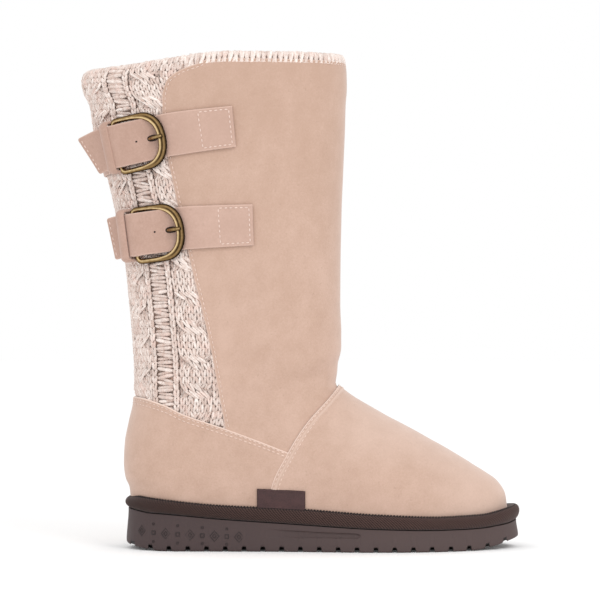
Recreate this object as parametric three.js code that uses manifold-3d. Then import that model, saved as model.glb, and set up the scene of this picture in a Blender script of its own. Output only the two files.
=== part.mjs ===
// Pull-on winter boot for the right foot: suede upper, knitted back panel with a knitted rim,
// two buckled straps, wrapped midsole and lugged outsole.
// Millimetres, +Z up, toe along +X, outer side of the foot towards -Y.
// The origin lies on the ground under the middle of the heel.

import * as THREE from "three";
import { mergeVertices } from "three/addons/utils/BufferGeometryUtils.js";
import Module from "manifold-3d";

const wasm = await Module();
wasm.setup();

// Driving dimensions of foot and sole
const soleLength = 268;
const ballWidth = 98;
const heelSetback = 35.2; // from the rear of the sole to the middle of the heel
const heelHeight = 34.7; // ground to the seam between upper and sole, at the heel
const instepHeight = 113;
const toeSwing = 8; // how far the toe turns to the inner side

// Driving dimensions of the shaft
const collarHeight = 333.6;
const collarDrop = 9.6; // how much lower the collar is at the back
const shaftDepth = 180;
const shaftWidth = 88;
const shaftAxis = 40; // from the middle of the heel forward to the middle of the shaft
const rimHeight = 4.5; // knitted rim that stands above the suede

// Walls, steps and clearances
const gap = 0.3; // between curved pieces that meet
const suedeWall = 3.2;
const knitWall = 4.6;
const knitSink = 0.2; // knit lies this much under the face of the suede
const counterStep = 0.8;
const vampStep = 1.6;

// Sole
const bandRound = 3; // how far the wrapped band rounds in at its two edges
const wallInset = 2; // outsole wall behind the face of the band, at its top
const wallFlare = 1.3; // how far that wall stands out again towards the ground
const edgeBevel = 1; // bottom edge of the outsole
const bevelUp = 0.07; // top of that bevel, share of the outsole's height
const flareUp = 0.4; // where half of the flare is reached
const insoleThickness = 4;
const insoleClearance = 0.5;
const grooveCount = 21;
const groovePitch = 12.55;
const firstGroove = -29.4; // from the middle of the heel
const grooveWidth = 3.4;
const grooveTaper = 0.5; // on each side, towards the top of the groove
const grooveHeight = 3.2;
const slotDepth = 1.2; // long slot in the outsole wall

// Straps and buckles
const strapWidth = 28.6;
const strapThickness = 1.8;
const chapeWidth = 27.4;
const chapeThickness = 1.6;
const keeperThickness = 1.2;
const keeperWidth = 6;
const keeperSlack = 4; // room between the layers inside the keeper, in all
const keeperCorner = 1;
const strapLift = 0.6; // strap and chape over the faces they lie on
const barLift = 1; // outer bar of the frame, further out than the strap under it needs
const wire = 3.6;
const frameLength = 34.5;
const frameClearance = 1.3; // between strap edge and frame
const cornerRadius = 10; // of the frame at its outer bar
const hingeCorner = 2.2; // of the frame at its hinge bar
const prongWidth = 2.6;
const tailLength = 23; // strap end behind the hinge bar
const chapeLeave = 15.5; // chape leaves the knit this far behind the hinge bar

// Tab in the side seam
const tabLength = 32.4;
const tabHeight = 13;
const tabThickness = 0.9;
const tabStart = 54.6; // from the middle of the heel

// Resolution of the facets
const aroundSteps = 38;
const soleSteps = 52;
const wireSides = 6;
const frameSteps = 30;
const prongSteps = 9;
const strapSteps = 24;
const chapeSteps = 36;
const chapeStations = 17;
const leaveStep = 0.02; // radians, in looking for the place where the chape leaves the knit
const slopeTurn = 0.04; // radians and millimetres, reach of the differences that give a face's direction
const slopeRise = 2;
const tabSteps = 5;
const collarSteps = 12;
const mergeReach = 0.0001;

const heelBack = -heelSetback;
const seamLevel = 0.865 * heelHeight; // lowest section, moved to the seam line afterwards
const bendLevel = 0.513 * instepHeight; // from here down the sections lean to the seam line
const collarLevel = 0.9 * collarHeight; // from here up they lean to the collar line

// Outline of the sole from above: half widths as shares of the ball width
const planRows = [
  { along: 0, outer: 0.375, inner: 0.375 },
  { along: 0.15, outer: 0.38, inner: 0.375 },
  { along: 0.35, outer: 0.395, inner: 0.35 },
  { along: 0.5, outer: 0.445, inner: 0.38 },
  { along: 0.62, outer: 0.495, inner: 0.445 },
  { along: 0.72, outer: 0.505, inner: 0.49 },
  { along: 0.85, outer: 0.485, inner: 0.5 },
  { along: 1, outer: 0.46, inner: 0.48 },
];
const planHeelRound = 0.155;
const planToeRound = 0.31;
const roundPower = 2.2; // 2 is an ellipse, more is squarer

// Lines of the sole from the side: heights as shares of the heel height
const sideRows = [
  { along: 0, seam: 0.99, band: 0.8, ground: 0.11 },
  { along: 0.036, seam: 1.02, band: 0.755, ground: 0.06 },
  { along: 0.062, seam: 1, band: 0.725, ground: 0.03 },
  { along: 0.1, seam: 0.97, band: 0.71, ground: 0 },
  { along: 0.238, seam: 0.868, band: 0.617, ground: 0 },
  { along: 0.443, seam: 0.8, band: 0.515, ground: 0 },
  { along: 0.644, seam: 0.695, band: 0.433, ground: 0 },
  { along: 0.797, seam: 0.65, band: 0.408, ground: 0 },
  { along: 0.85, seam: 0.66, band: 0.412, ground: 0 },
  { along: 0.9, seam: 0.675, band: 0.425, ground: 0.03 },
  { along: 0.935, seam: 0.72, band: 0.455, ground: 0.084 },
  { along: 0.965, seam: 0.775, band: 0.485, ground: 0.15 },
  { along: 1, seam: 0.85, band: 0.56, ground: 0.22 },
];

// Sections of the foot. up: share of the way from the seam to the instep. back, front: shares of the
// sole length. inset: behind the sole outline, share of the ball width. ankle: how far the half width
// has gone over to that of the shaft. heelRound, toeRound: rounded ends, shares of the section's length.
const footRows = [
  { up: 0, back: 0.0157, front: 0.9657, inset: 0.05, ankle: 0, heelRound: 0.165, toeRound: 0.32 },
  { up: 0.096, back: 0.0127, front: 0.961, inset: 0.03, ankle: 0, heelRound: 0.17, toeRound: 0.34 },
  { up: 0.193, back: 0.0026, front: 0.942, inset: 0.018, ankle: 0, heelRound: 0.18, toeRound: 0.38 },
  { up: 0.265, back: -0.0004, front: 0.909, inset: 0.014, ankle: 0.01, heelRound: 0.19, toeRound: 0.42 },
  { up: 0.337, back: -0.0015, front: 0.8664, inset: 0.014, ankle: 0.05, heelRound: 0.2, toeRound: 0.46 },
  { up: 0.506, back: 0.0011, front: 0.7769, inset: 0.02, ankle: 0.25, heelRound: 0.23, toeRound: 0.52 },
  { up: 0.675, back: 0.0112, front: 0.6799, inset: 0.03, ankle: 0.5, heelRound: 0.27, toeRound: 0.58 },
  { up: 0.831, back: 0.0216, front: 0.5933, inset: 0.04, ankle: 0.75, heelRound: 0.33, toeRound: 0.6 },
  { up: 0.928, back: 0.0231, front: 0.5463, inset: 0.045, ankle: 0.9, heelRound: 0.36, toeRound: 0.55 },
  { up: 1, back: 0.0235, front: 0.5317, inset: 0.045, ankle: 1, heelRound: 0.38, toeRound: 0.49 },
];

// Sections of the shaft. up: share of the way from the instep to the collar. back, front: from the
// shaft axis, shares of the shaft depth. half: share of the shaft width.
const shaftRows = [
  { up: 0.041, back: -0.383, front: 0.386, half: 0.457, heelRound: 0.385, toeRound: 0.45 },
  { up: 0.122, back: -0.389, front: 0.398, half: 0.466, heelRound: 0.4, toeRound: 0.43 },
  { up: 0.236, back: -0.4006, front: 0.393, half: 0.475, heelRound: 0.42, toeRound: 0.43 },
  { up: 0.372, back: -0.419, front: 0.394, half: 0.484, heelRound: 0.44, toeRound: 0.43 },
  { up: 0.508, back: -0.4506, front: 0.398, half: 0.49, heelRound: 0.455, toeRound: 0.435 },
  { up: 0.644, back: -0.4906, front: 0.404, half: 0.496, heelRound: 0.465, toeRound: 0.44 },
  { up: 0.771, back: -0.537, front: 0.4106, half: 0.5, heelRound: 0.47, toeRound: 0.445 },
  { up: 0.848, back: -0.5517, front: 0.414, half: 0.505, heelRound: 0.475, toeRound: 0.45 },
  { up: 0.902, back: -0.575, front: 0.418, half: 0.508, heelRound: 0.475, toeRound: 0.45 },
  { up: 0.948, back: -0.5828, front: 0.4167, half: 0.508, heelRound: 0.475, toeRound: 0.45 },
  { up: 1, back: -0.5667, front: 0.408, half: 0.5, heelRound: 0.475, toeRound: 0.45 },
];
const instepHalf = 0.45; // half width at the instep, share of the shaft width

// Seams seen from the side. along: share of the sole length. up: share of the collar height for the
// edge of the knit, of the instep height for counter and vamp.
const knitEdge = [
  { along: 0.23, up: 1.02 },
  { along: 0.211, up: 0.9865 },
  { along: 0.139, up: 0.961 },
  { along: 0.109, up: 0.941 },
  { along: 0.098, up: 0.905 },
  { along: 0.099, up: 0.855 },
  { along: 0.129, up: 0.723 },
  { along: 0.169, up: 0.576 },
  { along: 0.196, up: 0.488 },
  { along: 0.221, up: 0.4 },
  { along: 0.241, up: 0.309 },
  { along: 0.262, up: 0.22 },
];
const counterSeam = [
  { along: -0.2, up: 0.93 },
  { along: 0.033, up: 0.908 },
  { along: 0.102, up: 0.865 },
  { along: 0.15, up: 0.812 },
  { along: 0.213, up: 0.76 },
  { along: 0.261, up: 0.722 },
  { along: 0.389, up: 0.608 },
  { along: 0.5, up: 0.5 },
];
const vampSeam = [
  { along: 0.56, up: 1.03 },
  { along: 0.518, up: 0.912 },
  { along: 0.456, up: 0.75 },
  { along: 0.41, up: 0.577 },
  { along: 0.37, up: 0.372 },
  { along: 0.348, up: -0.2 },
];
const slotOutline = [
  { along: 0.343, up: 0.277 },
  { along: 0.583, up: 0.274 },
  { along: 0.591, up: 0.295 },
  { along: 0.593, up: 0.316 },
  { along: 0.591, up: 0.337 },
  { along: 0.583, up: 0.357 },
  { along: 0.343, up: 0.438 },
];
const slotFade = { from: 0.343, to: 0.45 }; // the slot deepens over this stretch

// Ways through the buckle. along: from the hinge bar, shares of the frame length in front of it and of
// the tail length behind it. out: from the plane of the frame, shares of the strap's height over the
// hinge bar where positive, and of its depth under the outer bar where negative.
const strapWay = [
  { along: 1, out: -1 },
  { along: 0.77, out: -1 },
  { along: 0.6, out: -0.33 },
  { along: 0.4, out: 0.35 },
  { along: 0.2, out: 0.82 },
  { along: 0, out: 1 },
  { along: -0.2, out: 0.68 },
  { along: -0.38, out: 0.07 },
  { along: -0.6, out: -0.53 },
  { along: -1, out: -1.33 },
];
const prongWay = [
  { along: 0.117, out: -0.07 },
  { along: 0.3, out: -0.43 },
  { along: 0.5, out: -0.53 },
  { along: 0.62, out: -0.03 },
  { along: 0.76, out: 0.53 },
  { along: 0.9, out: 0.69 },
  { along: 1.05, out: 0.69 },
];

// The chape's fold round the hinge bar, in shares of the radius of that fold
const foldWay = [
  { along: -3.8, out: -2.07 },
  { along: -2.76, out: -1.69 },
  { along: -1.38, out: -1.28 },
  { along: 0, out: -1 },
  { along: 0.71, out: -0.71 },
  { along: 1, out: 0 },
  { along: 0.71, out: 0.71 },
  { along: 0, out: 1 },
  { along: -0.83, out: 0.69 },
  { along: -1.72, out: 0.03 },
  { along: -2.76, out: -0.83 },
  { along: -4.14, out: -1.59 },
];
const keeperPlace = { along: -0.37, out: -0.83, tilt: 0.42 };

// The two straps. end: front end of the strap on the outer side. bar, hinge: where the buckle's two
// bars stand over the shaft. innerEnd: front end of the chape on the inner side. All of these from the
// shaft axis, shares of the shaft depth. height at end, share of the collar height, with slope and bend
// gives the height of the strap's middle line.
const strapRows = [
  {
    name: "upper",
    end: -0.003,
    bar: -0.25,
    hinge: -0.422,
    innerEnd: 0,
    height: 0.8495,
    slope: 0.1,
    bend: 0.16,
  },
  {
    name: "lower",
    end: 0.067,
    bar: -0.18,
    hinge: -0.353,
    innerEnd: 0.067,
    height: 0.6535,
    slope: 0.035,
    bend: 0.13,
  },
];
const straps = strapRows.map((row) => ({
  ...row,
  end: shaftAxis + row.end * shaftDepth,
  bar: shaftAxis + row.bar * shaftDepth,
  hinge: shaftAxis + row.hinge * shaftDepth,
  innerEnd: shaftAxis + row.innerEnd * shaftDepth,
  height: row.height * collarHeight,
  bend: row.bend / shaftDepth,
}));

// Tables and curves

function readTable(rows, key, at, column) {
  const last = rows.length - 1;
  if (at <= rows[0][key]) return rows[0][column];
  if (at >= rows[last][key]) return rows[last][column];
  const next = rows.findIndex((row) => row[key] > at);
  const low = rows[next - 1];
  const high = rows[next];
  const share = (at - low[key]) / (high[key] - low[key]);
  return THREE.MathUtils.lerp(low[column], high[column], share);
}

function roundEnd(distance, length) {
  if (distance >= length) return 1;
  const short = Math.min(1, Math.max(0, 1 - distance / length));
  return (1 - short ** roundPower) ** (1 / roundPower);
}

const alongAt = (x) => (x - heelBack) / soleLength;
const xAt = (along) => heelBack + along * soleLength;
const sideLine = (x, column) => heelHeight * readTable(sideRows, "along", alongAt(x), column);
const planHalf = (x, side) => ballWidth * readTable(planRows, "along", alongAt(x), side);
const swingAt = (x) => toeSwing * THREE.MathUtils.smoothstep(alongAt(x), 0.5, 1);

const collarBackX = shaftAxis - 0.55 * shaftDepth;
const rimLine = (x) =>
  collarHeight - collarDrop * (1 - THREE.MathUtils.smoothstep(x, collarBackX, shaftAxis));

// Sections of the last, from the seam up to the collar

const levels = [
  ...footRows.map((row) => ({
    level: THREE.MathUtils.lerp(seamLevel, instepHeight, row.up),
    back: xAt(row.back),
    front: xAt(row.front),
    half: shaftWidth * instepHalf,
    inset: ballWidth * row.inset,
    ankle: row.ankle,
    heelRound: row.heelRound,
    toeRound: row.toeRound,
  })),
  ...shaftRows.map((row) => ({
    level: THREE.MathUtils.lerp(instepHeight, collarHeight, row.up),
    back: shaftAxis + row.back * shaftDepth,
    front: shaftAxis + row.front * shaftDepth,
    half: shaftWidth * row.half,
    inset: 0,
    ankle: 1,
    heelRound: row.heelRound,
    toeRound: row.toeRound,
  })),
];
const topLevel = levels[levels.length - 1].level;

function sectionAt(level) {
  const section = {};
  for (const column of Object.keys(levels[0])) section[column] = readTable(levels, "level", level, column);
  return section;
}

function heightAt(level, x) {
  const seam = sideLine(x, "seam");
  if (level < seamLevel) return seam + level - seamLevel;
  if (level < bendLevel) return THREE.MathUtils.mapLinear(level, seamLevel, bendLevel, seam, bendLevel);
  if (level < collarLevel) return level;
  return THREE.MathUtils.mapLinear(level, collarLevel, topLevel, collarLevel, rimLine(x));
}

function levelAt(height, x) {
  if (height >= bendLevel) return height;
  return THREE.MathUtils.mapLinear(height, sideLine(x, "seam"), bendLevel, seamLevel, bendLevel);
}

function halfWidthAt(section, x, side) {
  const plan = planHalf(x, side) - section.inset;
  const width = THREE.MathUtils.lerp(plan, section.half, section.ankle);
  const length = section.front - section.back;
  return (
    width *
    roundEnd(x - section.back, section.heelRound * length) *
    roundEnd(section.front - x, section.toeRound * length)
  );
}

// A point of the last: angle 0 at the toe, a quarter turn on the inner side, a half turn at the heel
function lastPoint(level, angle) {
  const section = sectionAt(level);
  const middle = (section.front + section.back) / 2;
  const x = middle + ((section.front - section.back) / 2) * Math.cos(angle);
  const sign = Math.sin(angle) >= 0 ? 1 : -1;
  const half = halfWidthAt(section, x, sign > 0 ? "inner" : "outer");
  return new THREE.Vector3(x, swingAt(x) + sign * half, heightAt(level, x));
}

function surfacePoint(level, angle, offset) {
  const around = lastPoint(level, angle + slopeTurn).sub(lastPoint(level, angle - slopeTurn));
  const up = lastPoint(level + slopeRise, angle).sub(lastPoint(level - slopeRise, angle));
  const normal = around.cross(up).normalize();
  return lastPoint(level, angle).addScaledVector(normal, offset);
}

function angleAt(level, x, side) {
  const section = sectionAt(level);
  const middle = (section.front + section.back) / 2;
  const cosine = THREE.MathUtils.clamp((x - middle) / ((section.front - section.back) / 2), -1, 1);
  return side === "inner" ? Math.acos(cosine) : 2 * Math.PI - Math.acos(cosine);
}

// Meshes and solids

// Rings of points joined into one closed body: the ends are closed by strips between the two halves
// of the first and the last ring, or the last ring joins the first one.
function loft(rings, joined = false) {
  const count = rings[0].length;
  const positions = rings.flat().flatMap((point) => [point.x, point.y, point.z]);
  const faces = [];
  const spans = joined ? rings.length : rings.length - 1;
  for (let i = 0; i < spans; i += 1) {
    const low = i * count;
    const high = ((i + 1) % rings.length) * count;
    for (let j = 0; j < count; j += 1) {
      const next = (j + 1) % count;
      faces.push(low + j, low + next, high + next, low + j, high + next, high + j);
    }
  }
  const top = (rings.length - 1) * count;
  for (let j = 0; j < count / 2 && !joined; j += 1) {
    const other = (count - j) % count;
    const before = count - j - 1;
    if (other !== j) faces.push(j, other, j + 1, top + j, top + j + 1, top + other);
    if (before !== j + 1) faces.push(other, before, j + 1, top + other, top + j + 1, top + before);
  }
  const geometry = new THREE.BufferGeometry();
  geometry.setAttribute("position", new THREE.Float32BufferAttribute(positions, 3));
  geometry.setIndex(faces);
  return geometry;
}

function solidOf(geometry) {
  const bare = geometry.clone();
  bare.deleteAttribute("normal");
  bare.deleteAttribute("uv");
  const merged = mergeVertices(bare, mergeReach);
  const mesh = new wasm.Mesh({
    numProp: 3,
    vertProperties: new Float32Array(merged.attributes.position.array),
    triVerts: new Uint32Array(merged.index.array),
  });
  return new wasm.Manifold(mesh);
}

function geometryOf(solid) {
  const mesh = solid.getMesh();
  const geometry = new THREE.BufferGeometry();
  geometry.setAttribute("position", new THREE.BufferAttribute(mesh.vertProperties, 3));
  geometry.setIndex(new THREE.BufferAttribute(mesh.triVerts, 1));
  return geometry;
}

// A shape drawn in the side view, x forward and y up, made as wide as the whole boot
function sidePrism(points) {
  const depth = 2 * (ballWidth + shaftWidth);
  const shape = new THREE.Shape(points.map(([x, z]) => new THREE.Vector2(x, z)));
  const geometry = new THREE.ExtrudeGeometry(shape, { depth, bevelEnabled: false });
  geometry.rotateX(Math.PI / 2);
  geometry.translate(0, depth / 2, 0);
  return solidOf(geometry);
}

const beyond = 10; // how far forms run past the places where they are cut
const farBack = xAt(-0.4);
const farFront = xAt(1.2);
const farBelow = -heelHeight;
const farAbove = 1.2 * collarHeight;
const sidePoints = (rows, height) => rows.map((row) => [xAt(row.along), row.up * height]);
const lineXs = [farBack, ...sideRows.map((row) => xAt(row.along)), farFront];
const collarXs = Array.from({ length: collarSteps + 1 }, (_, i) =>
  THREE.MathUtils.lerp(collarBackX - beyond, shaftAxis + beyond, i / collarSteps),
);

function below(line, drop) {
  const edge = lineXs.map((x) => [x, sideLine(x, line) - drop]);
  return sidePrism([...edge, [farFront, farBelow], [farBack, farBelow]]);
}

function aboveCollar(drop) {
  const edge = [farBack, ...collarXs, farFront].map((x) => [x, rimLine(x) - drop]);
  return sidePrism([...edge, [farFront, farAbove], [farBack, farAbove]]);
}

function lastForm(offset) {
  const heights = [seamLevel - beyond, ...levels.map((row) => row.level), topLevel + beyond];
  const turns = Array.from({ length: aroundSteps }, (_, j) => (2 * Math.PI * j) / aroundSteps);
  const rings = heights.map((level) => turns.map((angle) => surfacePoint(level, angle, offset)));
  return solidOf(loft(rings));
}

// Upper: base form, raised counter and vamp, hollow inside, open at the back for the knit

const vampLine = sidePoints(vampSeam, instepHeight);
const vampPoints = [...vampLine, [farFront, farBelow], [farFront, vampLine[0][1]]];
const counterLine = sidePoints(counterSeam, instepHeight);
const counterFront = counterLine[counterLine.length - 1][0];
const counterPoints = [...counterLine, [counterFront, farBelow], [farBack, farBelow]];
const underSeam = below("seam", 0);

function windowPrism(clearance) {
  const edge = knitEdge.map((row) => [xAt(row.along) - clearance, row.up * collarHeight]);
  const bottom = edge[edge.length - 1];
  const region = sidePrism([...edge, [farBack, bottom[1]], [farBack, farAbove], [edge[0][0], farAbove]]);
  const seam = counterLine.map(([x, z]) => [x, z + clearance]);
  return region.subtract(sidePrism([...seam, [counterFront, farBelow], [farBack, farBelow]]));
}

function makeUpper() {
  const counter = lastForm(counterStep).intersect(sidePrism(counterPoints));
  const vamp = lastForm(vampStep).intersect(sidePrism(vampPoints));
  return lastForm(0)
    .add(counter)
    .add(vamp)
    .subtract(lastForm(-suedeWall))
    .subtract(windowPrism(0))
    .subtract(underSeam)
    .subtract(aboveCollar(rimHeight));
}

// Knit: the panel that closes the back of the shaft and, in one piece with it, the rim all round
function makeKnit() {
  const rim = aboveCollar(rimHeight - gap);
  return lastForm(-knitSink)
    .subtract(lastForm(-knitSink - knitWall))
    .intersect(windowPrism(gap).add(rim))
    .subtract(aboveCollar(0));
}

function makeInsole() {
  return lastForm(-suedeWall - insoleClearance)
    .subtract(below("seam", -gap))
    .intersect(below("seam", -gap - insoleThickness));
}

// Sole

function planRing(inset, height) {
  return Array.from({ length: soleSteps }, (_, j) => {
    const angle = (2 * Math.PI * j) / soleSteps;
    const middle = heelBack + soleLength / 2;
    const guess = middle + (soleLength / 2) * Math.cos(angle);
    const depth = typeof inset === "function" ? inset(guess) : inset;
    const x = middle + (soleLength / 2 - depth) * Math.cos(angle);
    const sign = Math.sin(angle) >= 0 ? 1 : -1;
    const half =
      (planHalf(x, sign > 0 ? "inner" : "outer") - depth) *
      roundEnd(x - heelBack - depth, planHeelRound * soleLength) *
      roundEnd(heelBack + soleLength - depth - x, planToeRound * soleLength);
    return new THREE.Vector3(x, swingAt(x) + sign * half, height(x));
  });
}

function makeMidsole() {
  const steps = [0, 0.08, 0.27, 0.5, 0.73, 0.92, 1];
  const rings = steps.map((step) => {
    const inset = bandRound * (1 - Math.sqrt(1 - (2 * step - 1) ** 2));
    return planRing(inset, (x) => THREE.MathUtils.lerp(sideLine(x, "band") - gap, sideLine(x, "seam"), step));
  });
  return solidOf(loft(rings)).intersect(below("seam", gap)).subtract(below("band", 0));
}

function soleForm(extra) {
  const steps = [
    { up: 0, inset: wallInset - wallFlare + edgeBevel },
    { up: bevelUp, inset: wallInset - wallFlare },
    { up: flareUp, inset: wallInset - wallFlare / 2 },
    { up: 1, inset: wallInset },
  ];
  const rings = steps.map((step) =>
    planRing(
      (x) => step.inset + extra(x),
      (x) => THREE.MathUtils.lerp(sideLine(x, "ground"), sideLine(x, "band"), step.up),
    ),
  );
  return solidOf(loft(rings)).intersect(below("band", gap));
}

function grooveAt(x) {
  const half = grooveWidth / 2;
  const floor = sideLine(x, "ground");
  const under = floor - grooveHeight;
  return sidePrism([
    [x - half, under],
    [x + half, under],
    [x + half, floor],
    [x + half - grooveTaper, floor + grooveHeight],
    [x - half + grooveTaper, floor + grooveHeight],
    [x - half, floor],
  ]);
}

function makeOutsole() {
  const fade = (x) => slotDepth * THREE.MathUtils.smoothstep(alongAt(x), slotFade.from, slotFade.to);
  const slot = sidePrism(sidePoints(slotOutline, heelHeight)).subtract(soleForm(fade));
  let solid = soleForm(() => 0).subtract(slot);
  for (let i = 0; i < grooveCount; i += 1) {
    solid = solid.subtract(grooveAt(firstGroove + i * groovePitch));
  }
  return solid;
}

// Straps, chapes and buckles

// A band from three lines of points, at its lower edge, middle and upper edge
function ribbon(lines, thickness) {
  const [low, middle, high] = lines;
  const rings = middle.map((point, i) => {
    const before = middle[Math.max(0, i - 1)];
    const after = middle[Math.min(middle.length - 1, i + 1)];
    const across = high[i].clone().sub(low[i]);
    const normal = after.clone().sub(before).cross(across).normalize();
    const face = (line, side) => line[i].clone().addScaledVector(normal, (side * thickness) / 2);
    return [face(low, -1), face(middle, -1), face(high, -1), face(high, 1), face(middle, 1), face(low, 1)];
  });
  return solidOf(loft(rings));
}

function smoothLines(lines, steps) {
  return lines.map((points) => new THREE.CatmullRomCurve3(points, false, "centripetal").getPoints(steps));
}

// The buckle's own axes: origin in the hinge bar, u along the strap to the outer bar, v up, n outwards
function buckleFrame(strap) {
  const height = (x) => {
    const run = strap.end - x;
    return strap.height - strap.slope * run - strap.bend * run * run;
  };
  const onShaft = (x, offset, across) => {
    const lean = (strap.slope + 2 * strap.bend * (strap.end - x)) * across;
    const level = height(x) + across;
    return surfacePoint(level, angleAt(level, x - lean, "outer"), offset);
  };
  const hingeOffset = strapLift + keeperThickness + gap + chapeThickness + gap + wire / 2;
  const barOffset = strapLift + strapThickness + gap + wire / 2 + barLift;
  const hinge = onShaft(strap.hinge, hingeOffset, 0);
  const bar = onShaft(strap.bar, barOffset, 0);
  const u = bar.clone().sub(hinge).normalize();
  const up = onShaft((strap.hinge + strap.bar) / 2, 0, strapWidth / 2);
  up.sub(onShaft((strap.hinge + strap.bar) / 2, 0, -strapWidth / 2));
  const n = u.clone().cross(up).normalize();
  const v = n.clone().cross(u).normalize();
  const local = (along, out, across) =>
    hinge.clone().addScaledVector(u, along).addScaledVector(n, out).addScaledVector(v, across);
  const behindHinge = (point) => hinge.clone().sub(point).dot(u);
  return { hinge, u, v, n, height, onShaft, local, behindHinge };
}

const strapLines = [-strapWidth / 2, 0, strapWidth / 2];
const chapeLines = [-chapeWidth / 2, 0, chapeWidth / 2];
const overHinge = wire / 2 + gap + chapeThickness + gap + strapThickness / 2;
const underBar = wire / 2 + gap + strapThickness / 2;
const foldRadius = wire / 2 + gap + chapeThickness / 2;
const throughBuckle = ({ along, out }) => [
  along * (along > 0 ? frameLength : tailLength),
  out * (out > 0 ? overHinge : underBar),
];

// Strap: stitched to the outer side, under the outer bar, over the hinge bar, out through the keeper
function makeStrap(strap, buckle, prong) {
  const flat = [0, 0.33, 0.67, 0.86].map((share) => THREE.MathUtils.lerp(strap.end, strap.bar, share));
  const lines = strapLines.map((step) => [
    ...flat.map((x) => buckle.onShaft(x, strapLift + strapThickness / 2, step)),
    ...strapWay.map((row) => buckle.local(...throughBuckle(row), step)),
  ]);
  return ribbon(smoothLines(lines, strapSteps), strapThickness).subtract(prong);
}

// Chape: from the inner side round the back of the shaft, folded back over the hinge bar
function makeChape(strap, buckle) {
  const start = angleAt(strap.height, strap.innerEnd, "inner");
  let stop = Math.PI;
  while (buckle.behindHinge(surfacePoint(strap.height, stop, strapLift)) > chapeLeave) stop += leaveStep;
  const lines = chapeLines.map((step) => {
    const round = Array.from({ length: chapeStations }, (_, i) => {
      const angle = THREE.MathUtils.lerp(start, stop, i / (chapeStations - 1));
      const x = lastPoint(strap.height, angle).x;
      return surfacePoint(buckle.height(x) + step, angle, strapLift + chapeThickness / 2);
    });
    const fold = foldWay.map((row) => buckle.local(row.along * foldRadius, row.out * foldRadius, step));
    return [...round, ...fold];
  });
  return ribbon(smoothLines(lines, chapeSteps), chapeThickness);
}

// Frame of round wire, a rectangle with two large corners at the outer bar
function makeFrame() {
  const half = strapWidth / 2 + frameClearance + wire / 2;
  const outline = new THREE.Shape();
  const cornerX = frameLength - cornerRadius;
  outline.moveTo(0, -half + hingeCorner);
  outline.absarc(hingeCorner, -half + hingeCorner, hingeCorner, Math.PI, 1.5 * Math.PI, false);
  outline.absarc(cornerX, -half + cornerRadius, cornerRadius, 1.5 * Math.PI, 2 * Math.PI, false);
  outline.absarc(cornerX, half - cornerRadius, cornerRadius, 0, 0.5 * Math.PI, false);
  outline.absarc(hingeCorner, half - hingeCorner, hingeCorner, 0.5 * Math.PI, Math.PI, false);
  outline.closePath();
  const path = outline.getSpacedPoints(frameSteps).slice(0, -1);
  const rings = path.map((point, i) => {
    const before = path[(i + path.length - 1) % path.length];
    const after = path[(i + 1) % path.length];
    const out = new THREE.Vector2(before.y - after.y, after.x - before.x).normalize();
    return Array.from({ length: wireSides }, (_, j) => {
      const turn = (2 * Math.PI * j) / wireSides;
      const reach = (wire / 2) * Math.cos(turn);
      const lift = (wire / 2) * Math.sin(turn);
      return new THREE.Vector3(point.x + out.x * reach, point.y + out.y * reach, lift);
    });
  });
  return loft(rings, true);
}

// Prong: from the fold of the chape, under the strap, up through its hole and onto the outer bar
function makeProng(radius) {
  const points = prongWay.map((row) => {
    const [along, out] = throughBuckle(row);
    return new THREE.Vector3(along, 0, out);
  });
  const round = new THREE.Shape();
  round.absarc(0, 0, radius, 0, 2 * Math.PI, false);
  const extrudePath = new THREE.CatmullRomCurve3(points);
  return new THREE.ExtrudeGeometry(round, { steps: prongSteps, curveSegments: 4, extrudePath });
}

// Keeper: a loop round chape and strap tail
function makeKeeper() {
  const width = strapWidth + 2 * frameClearance;
  const height = 2 * chapeThickness + strapThickness + keeperSlack;
  const ring = new THREE.Shape();
  const wall = keeperThickness;
  roundedRectangle(ring, width + 2 * wall, height + 2 * wall, keeperCorner + wall);
  const hole = new THREE.Path();
  roundedRectangle(hole, width, height, keeperCorner);
  ring.holes.push(hole);
  const settings = { depth: keeperWidth, curveSegments: 3, bevelEnabled: false };
  const geometry = new THREE.ExtrudeGeometry(ring, settings);
  geometry.translate(0, 0, -keeperWidth / 2);
  return geometry;
}

function roundedRectangle(path, width, height, radius) {
  const x = width / 2 - radius;
  const y = height / 2 - radius;
  path.moveTo(width / 2, -y);
  path.absarc(x, y, radius, 0, 0.5 * Math.PI, false);
  path.absarc(-x, y, radius, 0.5 * Math.PI, Math.PI, false);
  path.absarc(-x, -y, radius, Math.PI, 1.5 * Math.PI, false);
  path.absarc(x, -y, radius, 1.5 * Math.PI, 2 * Math.PI, false);
}

// Tab sewn into the seam on the outer side
function makeTab() {
  const lines = [0, 0.5, 1].map((share) =>
    Array.from({ length: tabSteps }, (_, i) => {
      const x = tabStart + (tabLength * i) / (tabSteps - 1);
      const level = levelAt(sideLine(x, "seam") + gap + tabHeight * share, x);
      const offset = gap + vampStep + tabThickness / 2;
      return surfacePoint(level, angleAt(level, x, "outer"), offset);
    }),
  );
  return ribbon(lines, tabThickness);
}

// Materials

const finishes = {
  suede: { color: 0xdab8a6, roughness: 0.95, metalness: 0 },
  strapSuede: { color: 0xd1ae9c, roughness: 0.95, metalness: 0 },
  knit: { color: 0xd5c1b7, roughness: 1, metalness: 0 },
  bandFabric: { color: 0x4f3d3b, roughness: 0.9, metalness: 0 },
  rubber: { color: 0x584a49, roughness: 0.7, metalness: 0 },
  fleece: { color: 0xe2d5cb, roughness: 1, metalness: 0 },
  tabFabric: { color: 0x463030, roughness: 0.8, metalness: 0 },
  brass: { color: 0xb6966a, roughness: 0.35, metalness: 1 },
};

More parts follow.
